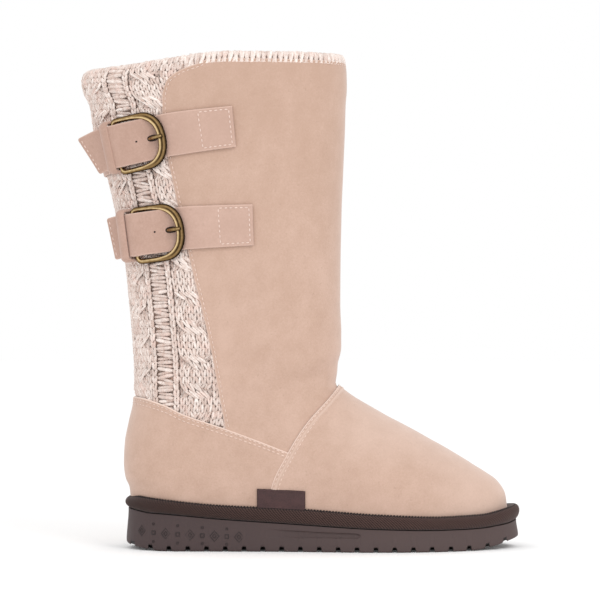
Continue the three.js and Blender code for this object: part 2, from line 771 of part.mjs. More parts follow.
function piece(name, shape, finish) {
  const geometry = shape.isBufferGeometry ? geometryOf(solidOf(shape)) : geometryOf(shape);
  const mesh = new THREE.Mesh(geometry, new THREE.MeshStandardMaterial(finishes[finish]));
  mesh.name = name;
  return mesh;
}

const boot = new THREE.Group();
boot.add(piece("outsole", makeOutsole(), "rubber"));
boot.add(piece("midsole", makeMidsole(), "bandFabric"));
boot.add(piece("insole", makeInsole(), "fleece"));
boot.add(piece("upper", makeUpper(), "suede"));
boot.add(piece("knit_panel", makeKnit(), "knit"));
boot.add(piece("side_tab", makeTab(), "tabFabric"));

for (const strap of straps) {
  const buckle = buckleFrame(strap);
  const basis = new THREE.Matrix4().makeBasis(buckle.u, buckle.v, buckle.n);
  const placed = new THREE.Group();
  placed.quaternion.setFromRotationMatrix(basis);
  placed.position.copy(buckle.hinge);
  placed.updateMatrix();
  placed.add(piece(`buckle_${strap.name}`, makeFrame(), "brass"));
  placed.add(piece(`prong_${strap.name}`, makeProng(prongWidth / 2), "brass"));
  const keeper = piece(`keeper_${strap.name}`, makeKeeper(), "strapSuede");
  const [along, out] = throughBuckle(keeperPlace);
  keeper.position.set(along, 0, out);
  keeper.rotation.set(0, Math.PI / 2 - keeperPlace.tilt, 0);
  keeper.rotateZ(Math.PI / 2);
  placed.add(keeper);
  boot.add(placed);
  const slot = makeProng(prongWidth / 2 + gap).applyMatrix4(placed.matrix);
  boot.add(piece(`strap_${strap.name}`, makeStrap(strap, buckle, solidOf(slot)), "strapSuede"));
  boot.add(piece(`chape_${strap.name}`, makeChape(strap, buckle), "strapSuede"));
}

export default boot;
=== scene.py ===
import math

import bmesh
import bpy
import numpy as np
from mathutils import Matrix, Vector


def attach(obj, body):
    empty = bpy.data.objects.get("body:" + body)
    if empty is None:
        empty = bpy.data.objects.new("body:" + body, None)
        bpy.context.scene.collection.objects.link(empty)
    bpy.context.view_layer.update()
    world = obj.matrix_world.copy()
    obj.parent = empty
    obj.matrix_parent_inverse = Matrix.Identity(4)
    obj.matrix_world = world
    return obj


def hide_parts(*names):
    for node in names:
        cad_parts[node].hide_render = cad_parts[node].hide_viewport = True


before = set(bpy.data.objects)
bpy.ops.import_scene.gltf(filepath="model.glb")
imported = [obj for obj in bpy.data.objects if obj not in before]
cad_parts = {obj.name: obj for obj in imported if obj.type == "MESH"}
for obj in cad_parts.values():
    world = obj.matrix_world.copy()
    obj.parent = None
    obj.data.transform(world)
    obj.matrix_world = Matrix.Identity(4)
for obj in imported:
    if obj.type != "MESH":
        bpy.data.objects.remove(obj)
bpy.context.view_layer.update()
print("frame loaded")

# The last, in millimetres as in the solids: toe along +X, outer side towards -Y

sole = dict(length=268, ball=98, back=-35.2, heel=34.7, swing=8, heelRound=0.155, toeRound=0.31)
shaft = dict(collar=333.6, drop=9.6, depth=180, width=88, axis=40, rim=4.5, instep=113, foot=0.45)
roundPower = 2.2  # 2 is an ellipse, more is squarer
seamLevel = 0.865 * sole["heel"]
bendLevel = 0.513 * shaft["instep"]
collarLevel = 0.9 * shaft["collar"]

# along the sole, half widths outside and inside
planTable = [
    (0, 0.375, 0.375), (0.15, 0.38, 0.375), (0.35, 0.395, 0.35), (0.5, 0.445, 0.38),
    (0.62, 0.495, 0.445), (0.72, 0.505, 0.49), (0.85, 0.485, 0.5), (1, 0.46, 0.48),
]
# along the sole, heights of the seam, the band's lower edge and the ground line
lineTable = [
    (0, 0.99, 0.8, 0.11), (0.036, 1.02, 0.755, 0.06), (0.062, 1, 0.725, 0.03), (0.1, 0.97, 0.71, 0),
    (0.238, 0.868, 0.617, 0), (0.443, 0.8, 0.515, 0), (0.644, 0.695, 0.433, 0), (0.797, 0.65, 0.408, 0),
    (0.85, 0.66, 0.412, 0), (0.9, 0.675, 0.425, 0.03), (0.935, 0.72, 0.455, 0.084),
    (0.965, 0.775, 0.485, 0.15), (1, 0.85, 0.56, 0.22),
]
# sections of the foot: way up to the instep, back, front, inset, ankle, heel round, toe round
footTable = [
    (0, 0.0157, 0.9657, 0.05, 0, 0.165, 0.32), (0.096, 0.0127, 0.961, 0.03, 0, 0.17, 0.34),
    (0.193, 0.0026, 0.942, 0.018, 0, 0.18, 0.38), (0.265, -0.0004, 0.909, 0.014, 0.01, 0.19, 0.42),
    (0.337, -0.0015, 0.8664, 0.014, 0.05, 0.2, 0.46), (0.506, 0.0011, 0.7769, 0.02, 0.25, 0.23, 0.52),
    (0.675, 0.0112, 0.6799, 0.03, 0.5, 0.27, 0.58), (0.831, 0.0216, 0.5933, 0.04, 0.75, 0.33, 0.6),
    (0.928, 0.0231, 0.5463, 0.045, 0.9, 0.36, 0.55), (1, 0.0235, 0.5317, 0.045, 1, 0.38, 0.49),
]
# sections of the shaft: way up to the collar, back, front, half width, heel round, toe round
shaftTable = [
    (0.041, -0.383, 0.386, 0.457, 0.385, 0.45), (0.122, -0.389, 0.398, 0.466, 0.4, 0.43),
    (0.236, -0.4006, 0.393, 0.475, 0.42, 0.43), (0.372, -0.419, 0.394, 0.484, 0.44, 0.43),
    (0.508, -0.4506, 0.398, 0.49, 0.455, 0.435), (0.644, -0.4906, 0.404, 0.496, 0.465, 0.44),
    (0.771, -0.537, 0.4106, 0.5, 0.47, 0.445), (0.848, -0.5517, 0.414, 0.505, 0.475, 0.45),
    (0.902, -0.575, 0.418, 0.508, 0.475, 0.45), (0.948, -0.5828, 0.4167, 0.508, 0.475, 0.45),
    (1, -0.5667, 0.408, 0.5, 0.475, 0.45),
]
# seams from the side: along the sole, and up the collar height (knit) or the instep height
knitTable = [
    (0.23, 1.02), (0.211, 0.9865), (0.139, 0.961), (0.109, 0.941), (0.098, 0.905), (0.099, 0.855),
    (0.129, 0.723), (0.169, 0.576), (0.196, 0.488), (0.221, 0.4), (0.241, 0.309), (0.262, 0.22),
]
counterTable = [
    (-0.2, 0.93), (0.033, 0.908), (0.102, 0.865), (0.15, 0.812), (0.213, 0.76), (0.261, 0.722),
    (0.389, 0.608), (0.5, 0.5),
]
vampTable = [(0.56, 1.03), (0.518, 0.912), (0.456, 0.75), (0.41, 0.577), (0.37, 0.372), (0.348, -0.2)]


def columnsOf(table):
    return [np.array(column) for column in zip(*table)]


def ease(x, low, high):
    t = np.clip((np.asarray(x, float) - low) / (high - low), 0, 1)
    return t * t * (3 - 2 * t)


# A smooth curve through the rows of a table that doesn't swing past them
def curveThrough(xs, ys):
    xs, ys = np.array(xs, float), np.array(ys, float)
    wide = np.diff(xs)
    rise = np.diff(ys) / wide
    lean = np.zeros(len(xs))
    lean[0], lean[-1] = rise[0], rise[-1]
    same = rise[:-1] * rise[1:] > 0
    first, second = 2 * wide[1:] + wide[:-1], wide[1:] + 2 * wide[:-1]
    before, after = np.where(same, rise[:-1], 1), np.where(same, rise[1:], 1)
    lean[1:-1] = np.where(same, (first + second) / (first / before + second / after), 0)

    def at(x):
        x = np.clip(np.asarray(x, float), xs[0], xs[-1])
        i = np.clip(np.searchsorted(xs, x) - 1, 0, len(wide) - 1)
        t = (x - xs[i]) / wide[i]
        bend = t * t * (3 - 2 * t)
        out = ys[i] * (1 - bend) + ys[i + 1] * bend
        return out + wide[i] * (lean[i] * t * (1 - t) ** 2 - lean[i + 1] * t * t * (1 - t))

    return at


def xAt(along):
    return sole["back"] + along * sole["length"]


planAlong, planOuter, planInner = columnsOf(planTable)
outerPlan = curveThrough(xAt(planAlong), planOuter * sole["ball"])
innerPlan = curveThrough(xAt(planAlong), planInner * sole["ball"])
lineAlong, *lineHeights = columnsOf(lineTable)
seamLine, bandLine, groundLine = (curveThrough(xAt(lineAlong), sole["heel"] * h) for h in lineHeights)

sections = [
    (seamLevel + (shaft["instep"] - seamLevel) * up, xAt(back), xAt(front), shaft["width"] * shaft["foot"],
     sole["ball"] * inset, ankle, heelEnd, toeEnd)
    for up, back, front, inset, ankle, heelEnd, toeEnd in footTable
] + [
    (shaft["instep"] + (shaft["collar"] - shaft["instep"]) * up, shaft["axis"] + back * shaft["depth"],
     shaft["axis"] + front * shaft["depth"], shaft["width"] * half, 0, 1, heelEnd, toeEnd)
    for up, back, front, half, heelEnd, toeEnd in shaftTable
]
sectionLevels, *sectionColumns = zip(*sections)
sectionCurves = [curveThrough(sectionLevels, column) for column in sectionColumns]


def roundEnd(distance, length):
    short = np.clip(1 - distance / length, 0, 1)
    return (1 - short ** roundPower) ** (1 / roundPower)


def swingAt(x):
    return sole["swing"] * ease(x, xAt(0.5), xAt(1))


def rimLine(x):
    front = ease(x, shaft["axis"] - 0.55 * shaft["depth"], shaft["axis"])
    return shaft["collar"] - shaft["drop"] * (1 - front)


def heightAt(level, x):
    seam = seamLine(x)
    low = seam + (level - seamLevel) * (bendLevel - seam) / (bendLevel - seamLevel)
    low = np.where(level < seamLevel, seam + level - seamLevel, low)
    rim = rimLine(x)
    high = collarLevel + (level - collarLevel) * (rim - collarLevel) / (shaft["collar"] - collarLevel)
    return np.where(level < bendLevel, low, np.where(level > collarLevel, high, level))


def levelAt(z, x):
    seam = seamLine(x)
    low = seamLevel + (z - seam) * (bendLevel - seamLevel) / (bendLevel - seam)
    low = np.where(z < seam, z - seam + seamLevel, low)
    rim = rimLine(x)
    high = collarLevel + (z - collarLevel) * (shaft["collar"] - collarLevel) / (rim - collarLevel)
    return np.where(z < bendLevel, low, np.where(z > collarLevel, high, z))


# A point of the last: angle 0 at the toe, a quarter turn on the inner side, a half turn at the heel
def lastPoint(level, angle):
    level, angle = np.broadcast_arrays(np.asarray(level, float), np.asarray(angle, float))
    back, front, half, inset, ankle, heelEnd, toeEnd = (curve(level) for curve in sectionCurves)
    long = front - back
    x = (front + back) / 2 + long / 2 * np.cos(angle)
    inner = np.sin(angle) >= 0
    plan = np.where(inner, innerPlan(x), outerPlan(x)) - inset
    wide = plan + (half - plan) * ankle
    wide = wide * roundEnd(x - back, heelEnd * long) * roundEnd(front - x, toeEnd * long)
    return np.stack([x, swingAt(x) + np.where(inner, wide, -wide), heightAt(level, x)], -1)


def alongClosed(path):
    return unit(np.roll(path, -1, 0) - np.roll(path, 1, 0))


# Length run along a path up to each of its points
def runAlong(points):
    return np.concatenate([[0], np.cumsum(np.linalg.norm(np.diff(points, axis=0), axis=1))])


# Vectors given at lengths run, read at other lengths
def readAt(at, run, values):
    return np.stack([np.interp(at, run, values[:, i]) for i in range(3)], -1)


def unit(vectors):
    return vectors / np.maximum(np.linalg.norm(vectors, axis=-1, keepdims=True), 1e-9)


def outwards(level, angle):
    around = lastPoint(level, angle + 0.02) - lastPoint(level, angle - 0.02)
    up = lastPoint(level + 1, angle) - lastPoint(level - 1, angle)
    return unit(np.cross(around, up))


def surfacePoint(level, angle, offset=0.0):
    return lastPoint(level, angle) + outwards(level, angle) * np.asarray(offset, float)[..., None]


def angleAt(level, x, inner=False):
    back, front = sectionCurves[0](level), sectionCurves[1](level)
    turn = np.arccos(np.clip((x - (front + back) / 2) / ((front - back) / 2), -1, 1))
    return turn if inner else 2 * math.pi - turn


# Seams as smooth lines in the side view

def fineLine(table, high, count=160):
    along, up = columnsOf(table)
    x, z = xAt(along), up * high
    step = np.concatenate([[0], np.cumsum(np.hypot(np.diff(x), np.diff(z)))])
    at = np.linspace(0, step[-1], count)
    return np.stack([curveThrough(step, x)(at), curveThrough(step, z)(at)], -1)


knitLine = fineLine(knitTable, shaft["collar"])
counterLine = fineLine(counterTable, shaft["instep"])
vampLine = fineLine(vampTable, shaft["instep"])


# Distance in the side view from points to a seam
def fromLine(x, z, line):
    x, z = np.asarray(x, float), np.asarray(z, float)
    nearest = np.full(x.shape, 1e9)
    for (ax, az), (bx, bz) in zip(line[:-1], line[1:]):
        long = (bx - ax) ** 2 + (bz - az) ** 2
        t = np.clip(((x - ax) * (bx - ax) + (z - az) * (bz - az)) / long, 0, 1)
        nearest = np.minimum(nearest, np.hypot(x - ax - t * (bx - ax), z - az - t * (bz - az)))
    return nearest


def xOfLine(line, z):
    order = np.argsort(line[:, 1])
    return np.interp(z, line[order, 1], line[order, 0])


def zOfLine(line, x):
    order = np.argsort(line[:, 0])
    return np.interp(x, line[order, 0], line[order, 1])


# Meshes

def newObject(name, data):
    thing = bpy.data.objects.new(name, data)
    bpy.context.scene.collection.objects.link(thing)
    return thing


def newPiece(name, mesh, node, material):
    piece = newObject(name, mesh)
    mesh.materials.clear()
    mesh.materials.append(material)
    mesh.polygons.foreach_set("use_smooth", [True] * len(mesh.polygons))
    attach(piece, "root")
    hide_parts(*([node] if isinstance(node, str) else node))
    return piece


# A grid of faces with its corners at points, rows by columns, and the row and column of each corner
def gridOver(points):
    rows, columns = points.shape[:2]
    sheet = bmesh.new()
    bmesh.ops.create_grid(sheet, x_segments=columns - 1, y_segments=rows - 1, size=1)
    sheet.verts.ensure_lookup_table()
    flat = np.array([v.co[:2] for v in sheet.verts])
    column = np.rint((flat[:, 0] + 1) / 2 * (columns - 1)).astype(int)
    row = np.rint((flat[:, 1] + 1) / 2 * (rows - 1)).astype(int)
    for vert, place in zip(sheet.verts, points[row, column]):
        vert.co = place
    return sheet, row, column


def closeUp(sheet, near):
    bmesh.ops.remove_doubles(sheet, verts=sheet.verts, dist=near)
    bmesh.ops.recalc_face_normals(sheet, faces=sheet.faces)


# A sheet laid over points in millimetres. spread is the flat place of each point.
def sheetPiece(name, points, node, material, spread=None, keep=None, joined=False, paintedLightAndWear=None):
    sheet, row, column = gridOver(points / 1000)
    if spread is not None:
        layer = sheet.loops.layers.uv.new("flat")
        places = spread[row, column]
        for face in sheet.faces:
            for loop in face.loops:
                loop[layer].uv = places[loop.vert.index]
    if paintedLightAndWear is not None:
        lightAndWearLayer = sheet.verts.layers.float.new("paintedLightAndWear")
        for vert, value in zip(sheet.verts, paintedLightAndWear[row, column]):
            vert[lightAndWearLayer] = value
    if keep is not None:
        kept = keep[row, column]
        gone = [face for face in sheet.faces if not any(kept[v.index] for v in face.verts)]
        bmesh.ops.delete(sheet, geom=gone, context="FACES")
    if joined:
        closeUp(sheet, 1e-6)
    mesh = bpy.data.meshes.new(name)
    sheet.to_mesh(mesh)
    sheet.free()
    return newPiece(name, mesh, node, material)


# Copies of one small shape: at places, along three axes each, in millimetres
def copiesPiece(name, shape, places, axes, node, material, shades=None):
    small = bpy.data.meshes.new(name + "_one")
    shape.to_mesh(small)
    verts = np.array([v.co[:] for v in small.vertices])
    loops = np.array([loop.vertex_index for loop in small.loops])
    sizes = np.array([len(p.vertices) for p in small.polygons])
    count = len(places)
    points = np.einsum("vk,nkd->nvd", verts, axes) + places[:, None, :]
    mesh = bpy.data.meshes.new(name)
    mesh.vertices.add(count * len(verts))
    mesh.vertices.foreach_set("co", (points / 1000).astype(np.float32).ravel())
    mesh.loops.add(count * len(loops))
    offsets = np.arange(count)[:, None] * len(verts)
    mesh.loops.foreach_set("vertex_index", (loops[None] + offsets).astype(np.int32).ravel())
    mesh.polygons.add(count * len(sizes))
    mesh.polygons.foreach_set("loop_start", np.concatenate([[0], np.cumsum(np.tile(sizes, count))[:-1]]))
    mesh.update(calc_edges=True)
    along = mesh.uv_layers.new(name="flat")
    uvs = np.stack([verts[:, 0], verts[:, 1]], -1)[loops]
    along.data.foreach_set("uv", np.tile(uvs, (count, 1)).astype(np.float32).ravel())
    if shades is not None:
        shade = mesh.attributes.new("shade", "FLOAT", "POINT")
        shade.data.foreach_set("value", np.repeat(shades, len(verts)).astype(np.float32))
    bpy.data.meshes.remove(small)
    return newPiece(name, mesh, node, material)


# A grain with rounded ends: long along x, bowed by rise in z
def grainShape(long, wide, deep, rise=0.0, sides=6, rings=5):
    shape = bmesh.new()
    bmesh.ops.create_uvsphere(shape, u_segments=sides, v_segments=rings, radius=0.5)
    bmesh.ops.rotate(shape, verts=shape.verts, matrix=Matrix.Rotation(math.pi / 2, 3, "Y"))
    for vert in shape.verts:
        x, y, z = vert.co
        full = 0.6 + 0.4 * (1 - (2 * x) ** 2)
        vert.co = (x * long, y * wide / full ** 0.5, z * deep / full ** 0.5 + rise * (1 - (2 * x) ** 2))
    return shape


def circle(radius, sides):
    turns = np.linspace(0, 2 * math.pi, sides + 1)
    return np.stack([np.cos(turns) * radius, np.sin(turns) * radius], -1)


# A section carried along a path: side is the direction of the section's first axis
def sweep(path, section, side, closed=False):
    path = np.asarray(path, float)
    ahead, behind = np.roll(path, -1, 0), np.roll(path, 1, 0)
    if not closed:
        ahead[-1], behind[0] = path[-1], path[0]
    along = unit(ahead - behind)
    side = np.broadcast_to(np.asarray(side, float), path.shape)
    side = unit(side - along * np.sum(side * along, -1, keepdims=True))
    other = np.cross(along, side)
    section = np.broadcast_to(section, (len(path), *np.shape(section)[-2:]))
    points = path[:, None] + section[..., :1] * side[:, None] + section[..., 1:] * other[:, None]
    return np.concatenate([points, points[:1]]) if closed else points


# Ends of a sweep drawn in to a point each
def capped(points):
    first, last = (np.broadcast_to(ring.mean(0), (1, *ring.shape)) for ring in (points[0], points[-1]))
    return np.concatenate([first, points, last])


def sheetShape(points, joined=False):
    sheet = gridOver(points)[0]
    if joined:
        closeUp(sheet, 1e-4)
    return sheet


# Materials: node sockets that can be added and multiplied as numbers are

class Tap:
    def __init__(self, board, socket):
        self.board = board
        self.socket = socket

    def sum(self, operation, first, second=None, third=None):
        values = {i: v for i, v in enumerate((first, second, third)) if v is not None}
        return self.board.add("ShaderNodeMath", {"operation": operation}, values)

    def __add__(self, other):
        return self.sum("ADD", self, other)

    def __sub__(self, other):
        return self.sum("SUBTRACT", self, other)

    def __rsub__(self, other):
        return self.sum("SUBTRACT", other, self)

    def __mul__(self, other):
        return self.sum("MULTIPLY", self, other)

    def __truediv__(self, other):
        return self.sum("DIVIDE", self, other)

    __radd__ = __add__
    __rmul__ = __mul__

    def above(self, low, high):
        steps = {"interpolation_type": "SMOOTHSTEP"}
        return self.board.add("ShaderNodeMapRange", steps, {0: self, 1: low, 2: high})

    def sine(self):
        return self.sum("SINE", self)


class Board:
    def __init__(self, name):
        self.material = bpy.data.materials.new(name)
        self.material.use_nodes = True
        self.tree = self.material.node_tree
        self.tree.nodes.clear()

    def add(self, kind, settings=None, sockets=None, output=0):
        node = self.tree.nodes.new(kind)
        for key, value in (settings or {}).items():
            setattr(node, key, value)
        for key, value in (sockets or {}).items():
            if isinstance(value, Tap):
                self.tree.links.new(value.socket, node.inputs[key])
            else:
                node.inputs[key].default_value = value
        return Tap(self, node.outputs[output])

    def place(self):
        return self.add("ShaderNodeTexCoord", output="Object")

    def flat(self):
        return self.add("ShaderNodeUVMap", {"uv_map": "flat"})

    def split(self, vector):
        return [self.add("ShaderNodeSeparateXYZ", None, {0: vector}, output=i) for i in range(3)]

    def noise(self, at, scale, detail=2.0, rough=0.5):
        sockets = {"Vector": at, "Scale": scale, "Detail": detail, "Roughness": rough}
        return self.add("ShaderNodeTexNoise", {"noise_type": "FBM"}, sockets)

    def stretch(self, at, scale):
        return self.add("ShaderNodeVectorMath", {"operation": "MULTIPLY"}, {0: at, 1: scale})

    def blend(self, share, first, second):
        return self.add("ShaderNodeMix", {"data_type": "RGBA"}, {0: share, 6: first, 7: second}, output=2)

    def attribute(self, name):
        return self.add("ShaderNodeAttribute", {"attribute_name": name}, output="Fac")

    def bump(self, height, depth, strength=1.0):
        sockets = {"Height": height, "Distance": depth, "Strength": strength}
        return self.add("ShaderNodeBump", None, sockets, output="Normal")

    def surface(self, colour, rough, normal=None, **constants):
        names = {"metal": "Metallic", "sheen": "Sheen Weight", "sheenRough": "Sheen Roughness",
                 "specular": "Specular IOR Level", "glow": "Emission Color",
                 "glowStrength": "Emission Strength"}
        sockets = {"Base Color": colour, "Roughness": rough}
        sockets.update({names[key]: value for key, value in constants.items()})
        if normal is not None:
            sockets["Normal"] = normal
        shader = self.add("ShaderNodeBsdfPrincipled", None, sockets)
        end = self.tree.nodes.new("ShaderNodeOutputMaterial")
        self.tree.links.new(shader.socket, end.inputs["Surface"])
        return self.material


# A colour as read off a screen, 0 to 255, as Blender's own linear values
def tint(colour, deep=1.0):
    screen = [min(255, c * deep) for c in colour]
    return (*[((c / 255 + 0.055) / 1.055) ** 2.4 if c > 10 else c / 3295 for c in screen], 1)


# edge: colour of the painted highlight on edges and seams and of the painted light over instep and toe
suedeLook = dict(dark=(187, 156, 138), light=(207, 177, 161), edge=(240, 219, 207), nap=900, grain=2600,
                 bump=0.00014)
yarnLook = dict(dark=(205, 180, 168), light=(251, 240, 233), grey=(214, 200, 192), pink=(234, 204, 192))


def suedeFinish(name, look):
    board = Board(name)
    at = board.place()
    cloud = board.noise(at, 22, 4, 0.6)
    patch = board.noise(at, 90, 4, 0.65)
    nap = board.noise(at, look["nap"], 2)
    grain = board.noise(at, look["grain"], 2)
    # painted shade: a little deeper in tone towards the top, against the lamp above
    high = board.split(at)[2].above(0.12, 0.33)
    share = (cloud * 0.31 + patch * 0.31 + nap * 0.26 + grain * 0.2 - high * 0.12 + 0.01).above(0.3, 0.8)
    colour = board.blend(share, tint(look["dark"]), tint(look["light"]))
    # scattered darker specks, and the edge colour where the attribute asks: painted highlight along edges and
    # seams, painted light over the instep and toe, paler at the strap's sewn end
    speck = board.noise(at, 520, 1).above(0.68, 0.78) * 0.3
    colour = board.blend(speck, colour, tint(look["dark"], 0.9))
    colour = board.blend(board.attribute("paintedLightAndWear"), colour, tint(look["edge"]))
    normal = board.bump(nap * 0.6 + grain * 0.4, look["bump"], 0.8)
    return board.surface(colour, 0.95, normal, sheen=0.4, sheenRough=0.45, specular=0.15)


# Marled yarn: cream and beige plies, some greyer, some pinker
def knitFinish(name, look, deep=1.0):
    board = Board(name)
    at = board.place()
    shade = board.attribute("shade")
    marl = board.noise(at, 520, 2, 0.6)
    fuzz = board.noise(at, 2400, 2, 0.6)
    share = (marl * 0.62 + shade * 0.38 + fuzz * 0.3 - 0.12).above(0.22, 0.86)
    colour = board.blend(share, tint(look["dark"], deep), tint(look["light"], deep))
    grey = board.noise(at, 210, 1).above(0.55, 0.68) * 0.5
    pink = board.noise(at, 150, 1).above(0.56, 0.7) * 0.45
    colour = board.blend(grey, colour, tint(look["grey"], deep))
    colour = board.blend(pink, colour, tint(look["pink"], deep))
    normal = board.bump(fuzz, 0.00025, 0.9)
    return board.surface(colour, 0.95, normal, sheen=0.3, sheenRough=0.6, specular=0.15)


# Antique brass: bright along the crest of the wire, part rubbed polish and part painted highlight, tarnished
# brown down its sides
def brassFinish(name, look):
    board = Board(name)
    at = board.place()
    cloud = board.noise(at, 500, 3, 0.6)
    crest = board.attribute("paintedLightAndWear") + (cloud - 0.5) * 0.35
    colour = board.blend(crest.above(0.2, 0.8), tint(look["tarnish"]), tint(look["mid"]))
    colour = board.blend(crest.above(0.78, 1.1), colour, tint(look["bright"]))
    rough = 0.5 - crest.above(0.3, 0.9) * 0.22
    return board.surface(colour, rough, board.bump(cloud, 0.00004, 0.5), metal=1.0)


# Moulded rubber, a little greyer and lighter towards the toe, with painted shade in the grooves and under the
# sole
def rubberFinish(name, look):
    board = Board(name)
    at = board.place()
    fine = board.noise(at, 1500, 3)
    smear = board.noise(board.stretch(at, (1, 1, 3)), 45, 4, 0.6)
    share = board.split(at)[0].above(-0.03, 0.2) * 0.7 + smear * 0.4 - 0.08
    colour = board.blend(share, tint(look["heel"]), tint(look["toe"]))
    # painted shade: near black in the grooves, darker over the underside
    colour = board.blend(board.attribute("paintedLightAndWear"), colour, tint(look["grooveShade"]))
    rough = smear * 0.25 + 0.5
    return board.surface(colour, rough, board.bump(fine, 0.00008, 0.7), specular=0.35)


# Twill: ribs slanting across the band, light on their crests and nearly black between
def twillFinish(name, look):
    board = Board(name)
    run, up = board.split(board.flat())[:2]
    rib = ((run + up * look["lean"]) * (2 * math.pi / look["rib"])).sine() * 0.5 + 0.5
    pick = (up * (2 * math.pi / 1.2) - run * 1.1).sine() * 0.5 + 0.5
    fluff = board.noise(board.place(), 900, 3)
    # a little lighter towards the toe
    front = board.split(board.place())[0].above(-0.03, 0.16) * 0.26
    share = (rib * 0.62 + pick * 0.16 + fluff * 0.35 - 0.15) * (front + 0.58)
    colour = board.blend(share, tint(look["dark"]), tint(look["light"]))
    normal = board.bump(fluff, 0.0002, 0.8)
    return board.surface(colour, 0.9, normal, sheen=0.15, sheenRough=0.5, specular=0.2)


def plainFinish(name, colour, rough, scale, depth, spread=0.12, **constants):
    board = Board(name)
    at = board.place()
    fine = board.noise(at, scale, 3)
    broad = board.noise(at, scale / 14, 3)
    share = (fine * 0.5 + broad * 0.5).above(0.35, 0.65)
    tone = board.blend(share, tint(colour, 1 - spread), tint(colour, 1 + spread))
    return board.surface(tone, rough, board.bump(fine, depth, 0.7), **constants)


suede = suedeFinish("suede", suedeLook)
knitYarn = knitFinish("knit_yarn", yarnLook)
# a darker copy of the yarn: painted shade for the legs set behind and the fabric under the rim loops
shadedFillYarn = knitFinish("fill_yarn_shaded", yarnLook, 0.95)
knitBack = plainFinish("knit_ground", (206, 180, 166), 1, 900, 0.0003)
bandCloth = twillFinish("band_cloth", dict(dark=(20, 12, 11), light=(108, 82, 76), rib=2.0, lean=1.2))
rubber = rubberFinish("rubber", dict(heel=(67, 53, 53), toe=(84, 69, 67), grooveShade=(24, 18, 18)))
markRubber = plainFinish("mark_rubber", (46, 36, 36), 0.7, 1500, 0.00008, 0.05)
fleece = plainFinish("fleece", (243, 226, 211), 1, 500, 0.0012)
tabCloth = plainFinish("tab_cloth", (70, 48, 48), 0.8, 1500, 0.0001)
brassLook = dict(tarnish=(46, 34, 22), mid=(134, 107, 70), bright=(220, 194, 146))
brass = brassFinish("brass", brassLook)
thread = plainFinish("thread", (226, 203, 191), 0.8, 1500, 0.0001, 0.04)
darkThread = plainFinish("dark_thread", (38, 25, 24), 0.8, 1500, 0.0001, 0.1)
# near black: painted shade for the depths of the slots and pinholes
holeShade = plainFinish("holeShade", (34, 22, 16), 0.9, 1500, 0.0001, 0.1)
print("materials made")

# Stations along a ring of the last: close together near both ends, even between

edgeSteps = np.array([0, 0.12, 0.3, 0.6, 1.0, 1.5, 2.1, 2.8, 3.6, 4.6, 5.8])


def ringAngles(level, start, stop, count, edges=True):
    turns = np.linspace(start, stop, 500)
    run = runAlong(lastPoint(level, turns))
    long = run[-1]
    if edges:
        side = edgeSteps * min(1, long / (2.5 * edgeSteps[-1]))
        middle = np.linspace(side[-1], long - side[-1], count)[1:-1]
        at = np.concatenate([side, middle, long - side[::-1]])
    else:
        at = np.linspace(0, long, count)
    return np.interp(at, run, turns), at


def rolled(distance, thick, radius):
    t = np.clip(distance / radius, 0, 1)
    return thick * np.sqrt(1 - (1 - t) ** 2)


# Rings of a panel between its two edges, at x on either side: angles, levels and flat places
def panelGrid(levels, edgeAt, count=230):
    rings = []
    for level in levels:
        x = edgeAt(level)
        stop = 2 * math.pi + float(angleAt(level, x, True))
        rings.append(ringAngles(level, float(angleAt(level, x)), stop, count))
    angleGrid, runs = columnsOf(rings)
    levelGrid = np.repeat(levels[:, None], angleGrid.shape[1], 1)
    return angleGrid, levelGrid, np.stack([runs, levelGrid], -1)


# Soft creases in the side view: from x, z to x, z, half width, depth (ridges below 0)
creases = [
    (118, 128, 92, 118, 5, 0.9), (112, 116, 84, 108, 4, -0.6), (108, 141, 84, 134, 5, 0.5),
    (60, 150, 92, 138, 9, 0.45), (36, 128, 66, 120, 8, 0.4), (88, 176, 62, 190, 12, 0.4),
    (100, 232, 70, 214, 12, 0.35), (34, 262, 58, 244, 10, 0.3), (104, 300, 80, 288, 12, 0.3),
    (140, 84, 118, 66, 7, 0.45), (170, 70, 148, 52, 8, 0.35), (206, 60, 190, 42, 9, 0.3),
    (-26, 76, -8, 60, 6, 0.4), (-22, 56, 8, 44, 8, 0.35), (18, 70, 40, 48, 9, 0.35),
    (44, 88, 66, 70, 7, 0.3),
]
# thickness of each panel's edge, and how far in it is rounded
panelEdge = dict(shaft=(1.4, 1.1), vamp=(1.7, 1.2), counter=(1.6, 1.2))
stitchRows = dict(knit=2.4, top=2.3, counter=(1.9, 4.5), vamp=(1.7, 4.6))


def creaseAt(x, z):
    total = np.zeros(np.shape(x))
    for ax, az, bx, bz, wide, deep in creases:
        line = np.array([(ax, az), (bx, bz)], float)
        total -= deep * np.exp(-(fromLine(x, z, line) / wide) ** 2)
    return total


# Troughs under rows of stitches
def troughs(near, rows):
    return -0.22 * sum(np.exp(-((near - row) / 0.5) ** 2) for row in rows)


def shaftOffset(x, z):
    near = np.where(z > 80, fromLine(x, z, knitLine), 9)
    fromTop = np.maximum(rimLine(x) - shaft["rim"] - z, 0)
    dips = troughs(near, [stitchRows["knit"]]) + troughs(fromTop, [stitchRows["top"]])
    # pressed down just in front of the vamp seam
    dips = dips - 0.5 * np.exp(-(fromLine(x, z, vampLine) / 3.5) ** 2)
    return np.minimum(near, fromTop), dips + creaseAt(x, z)


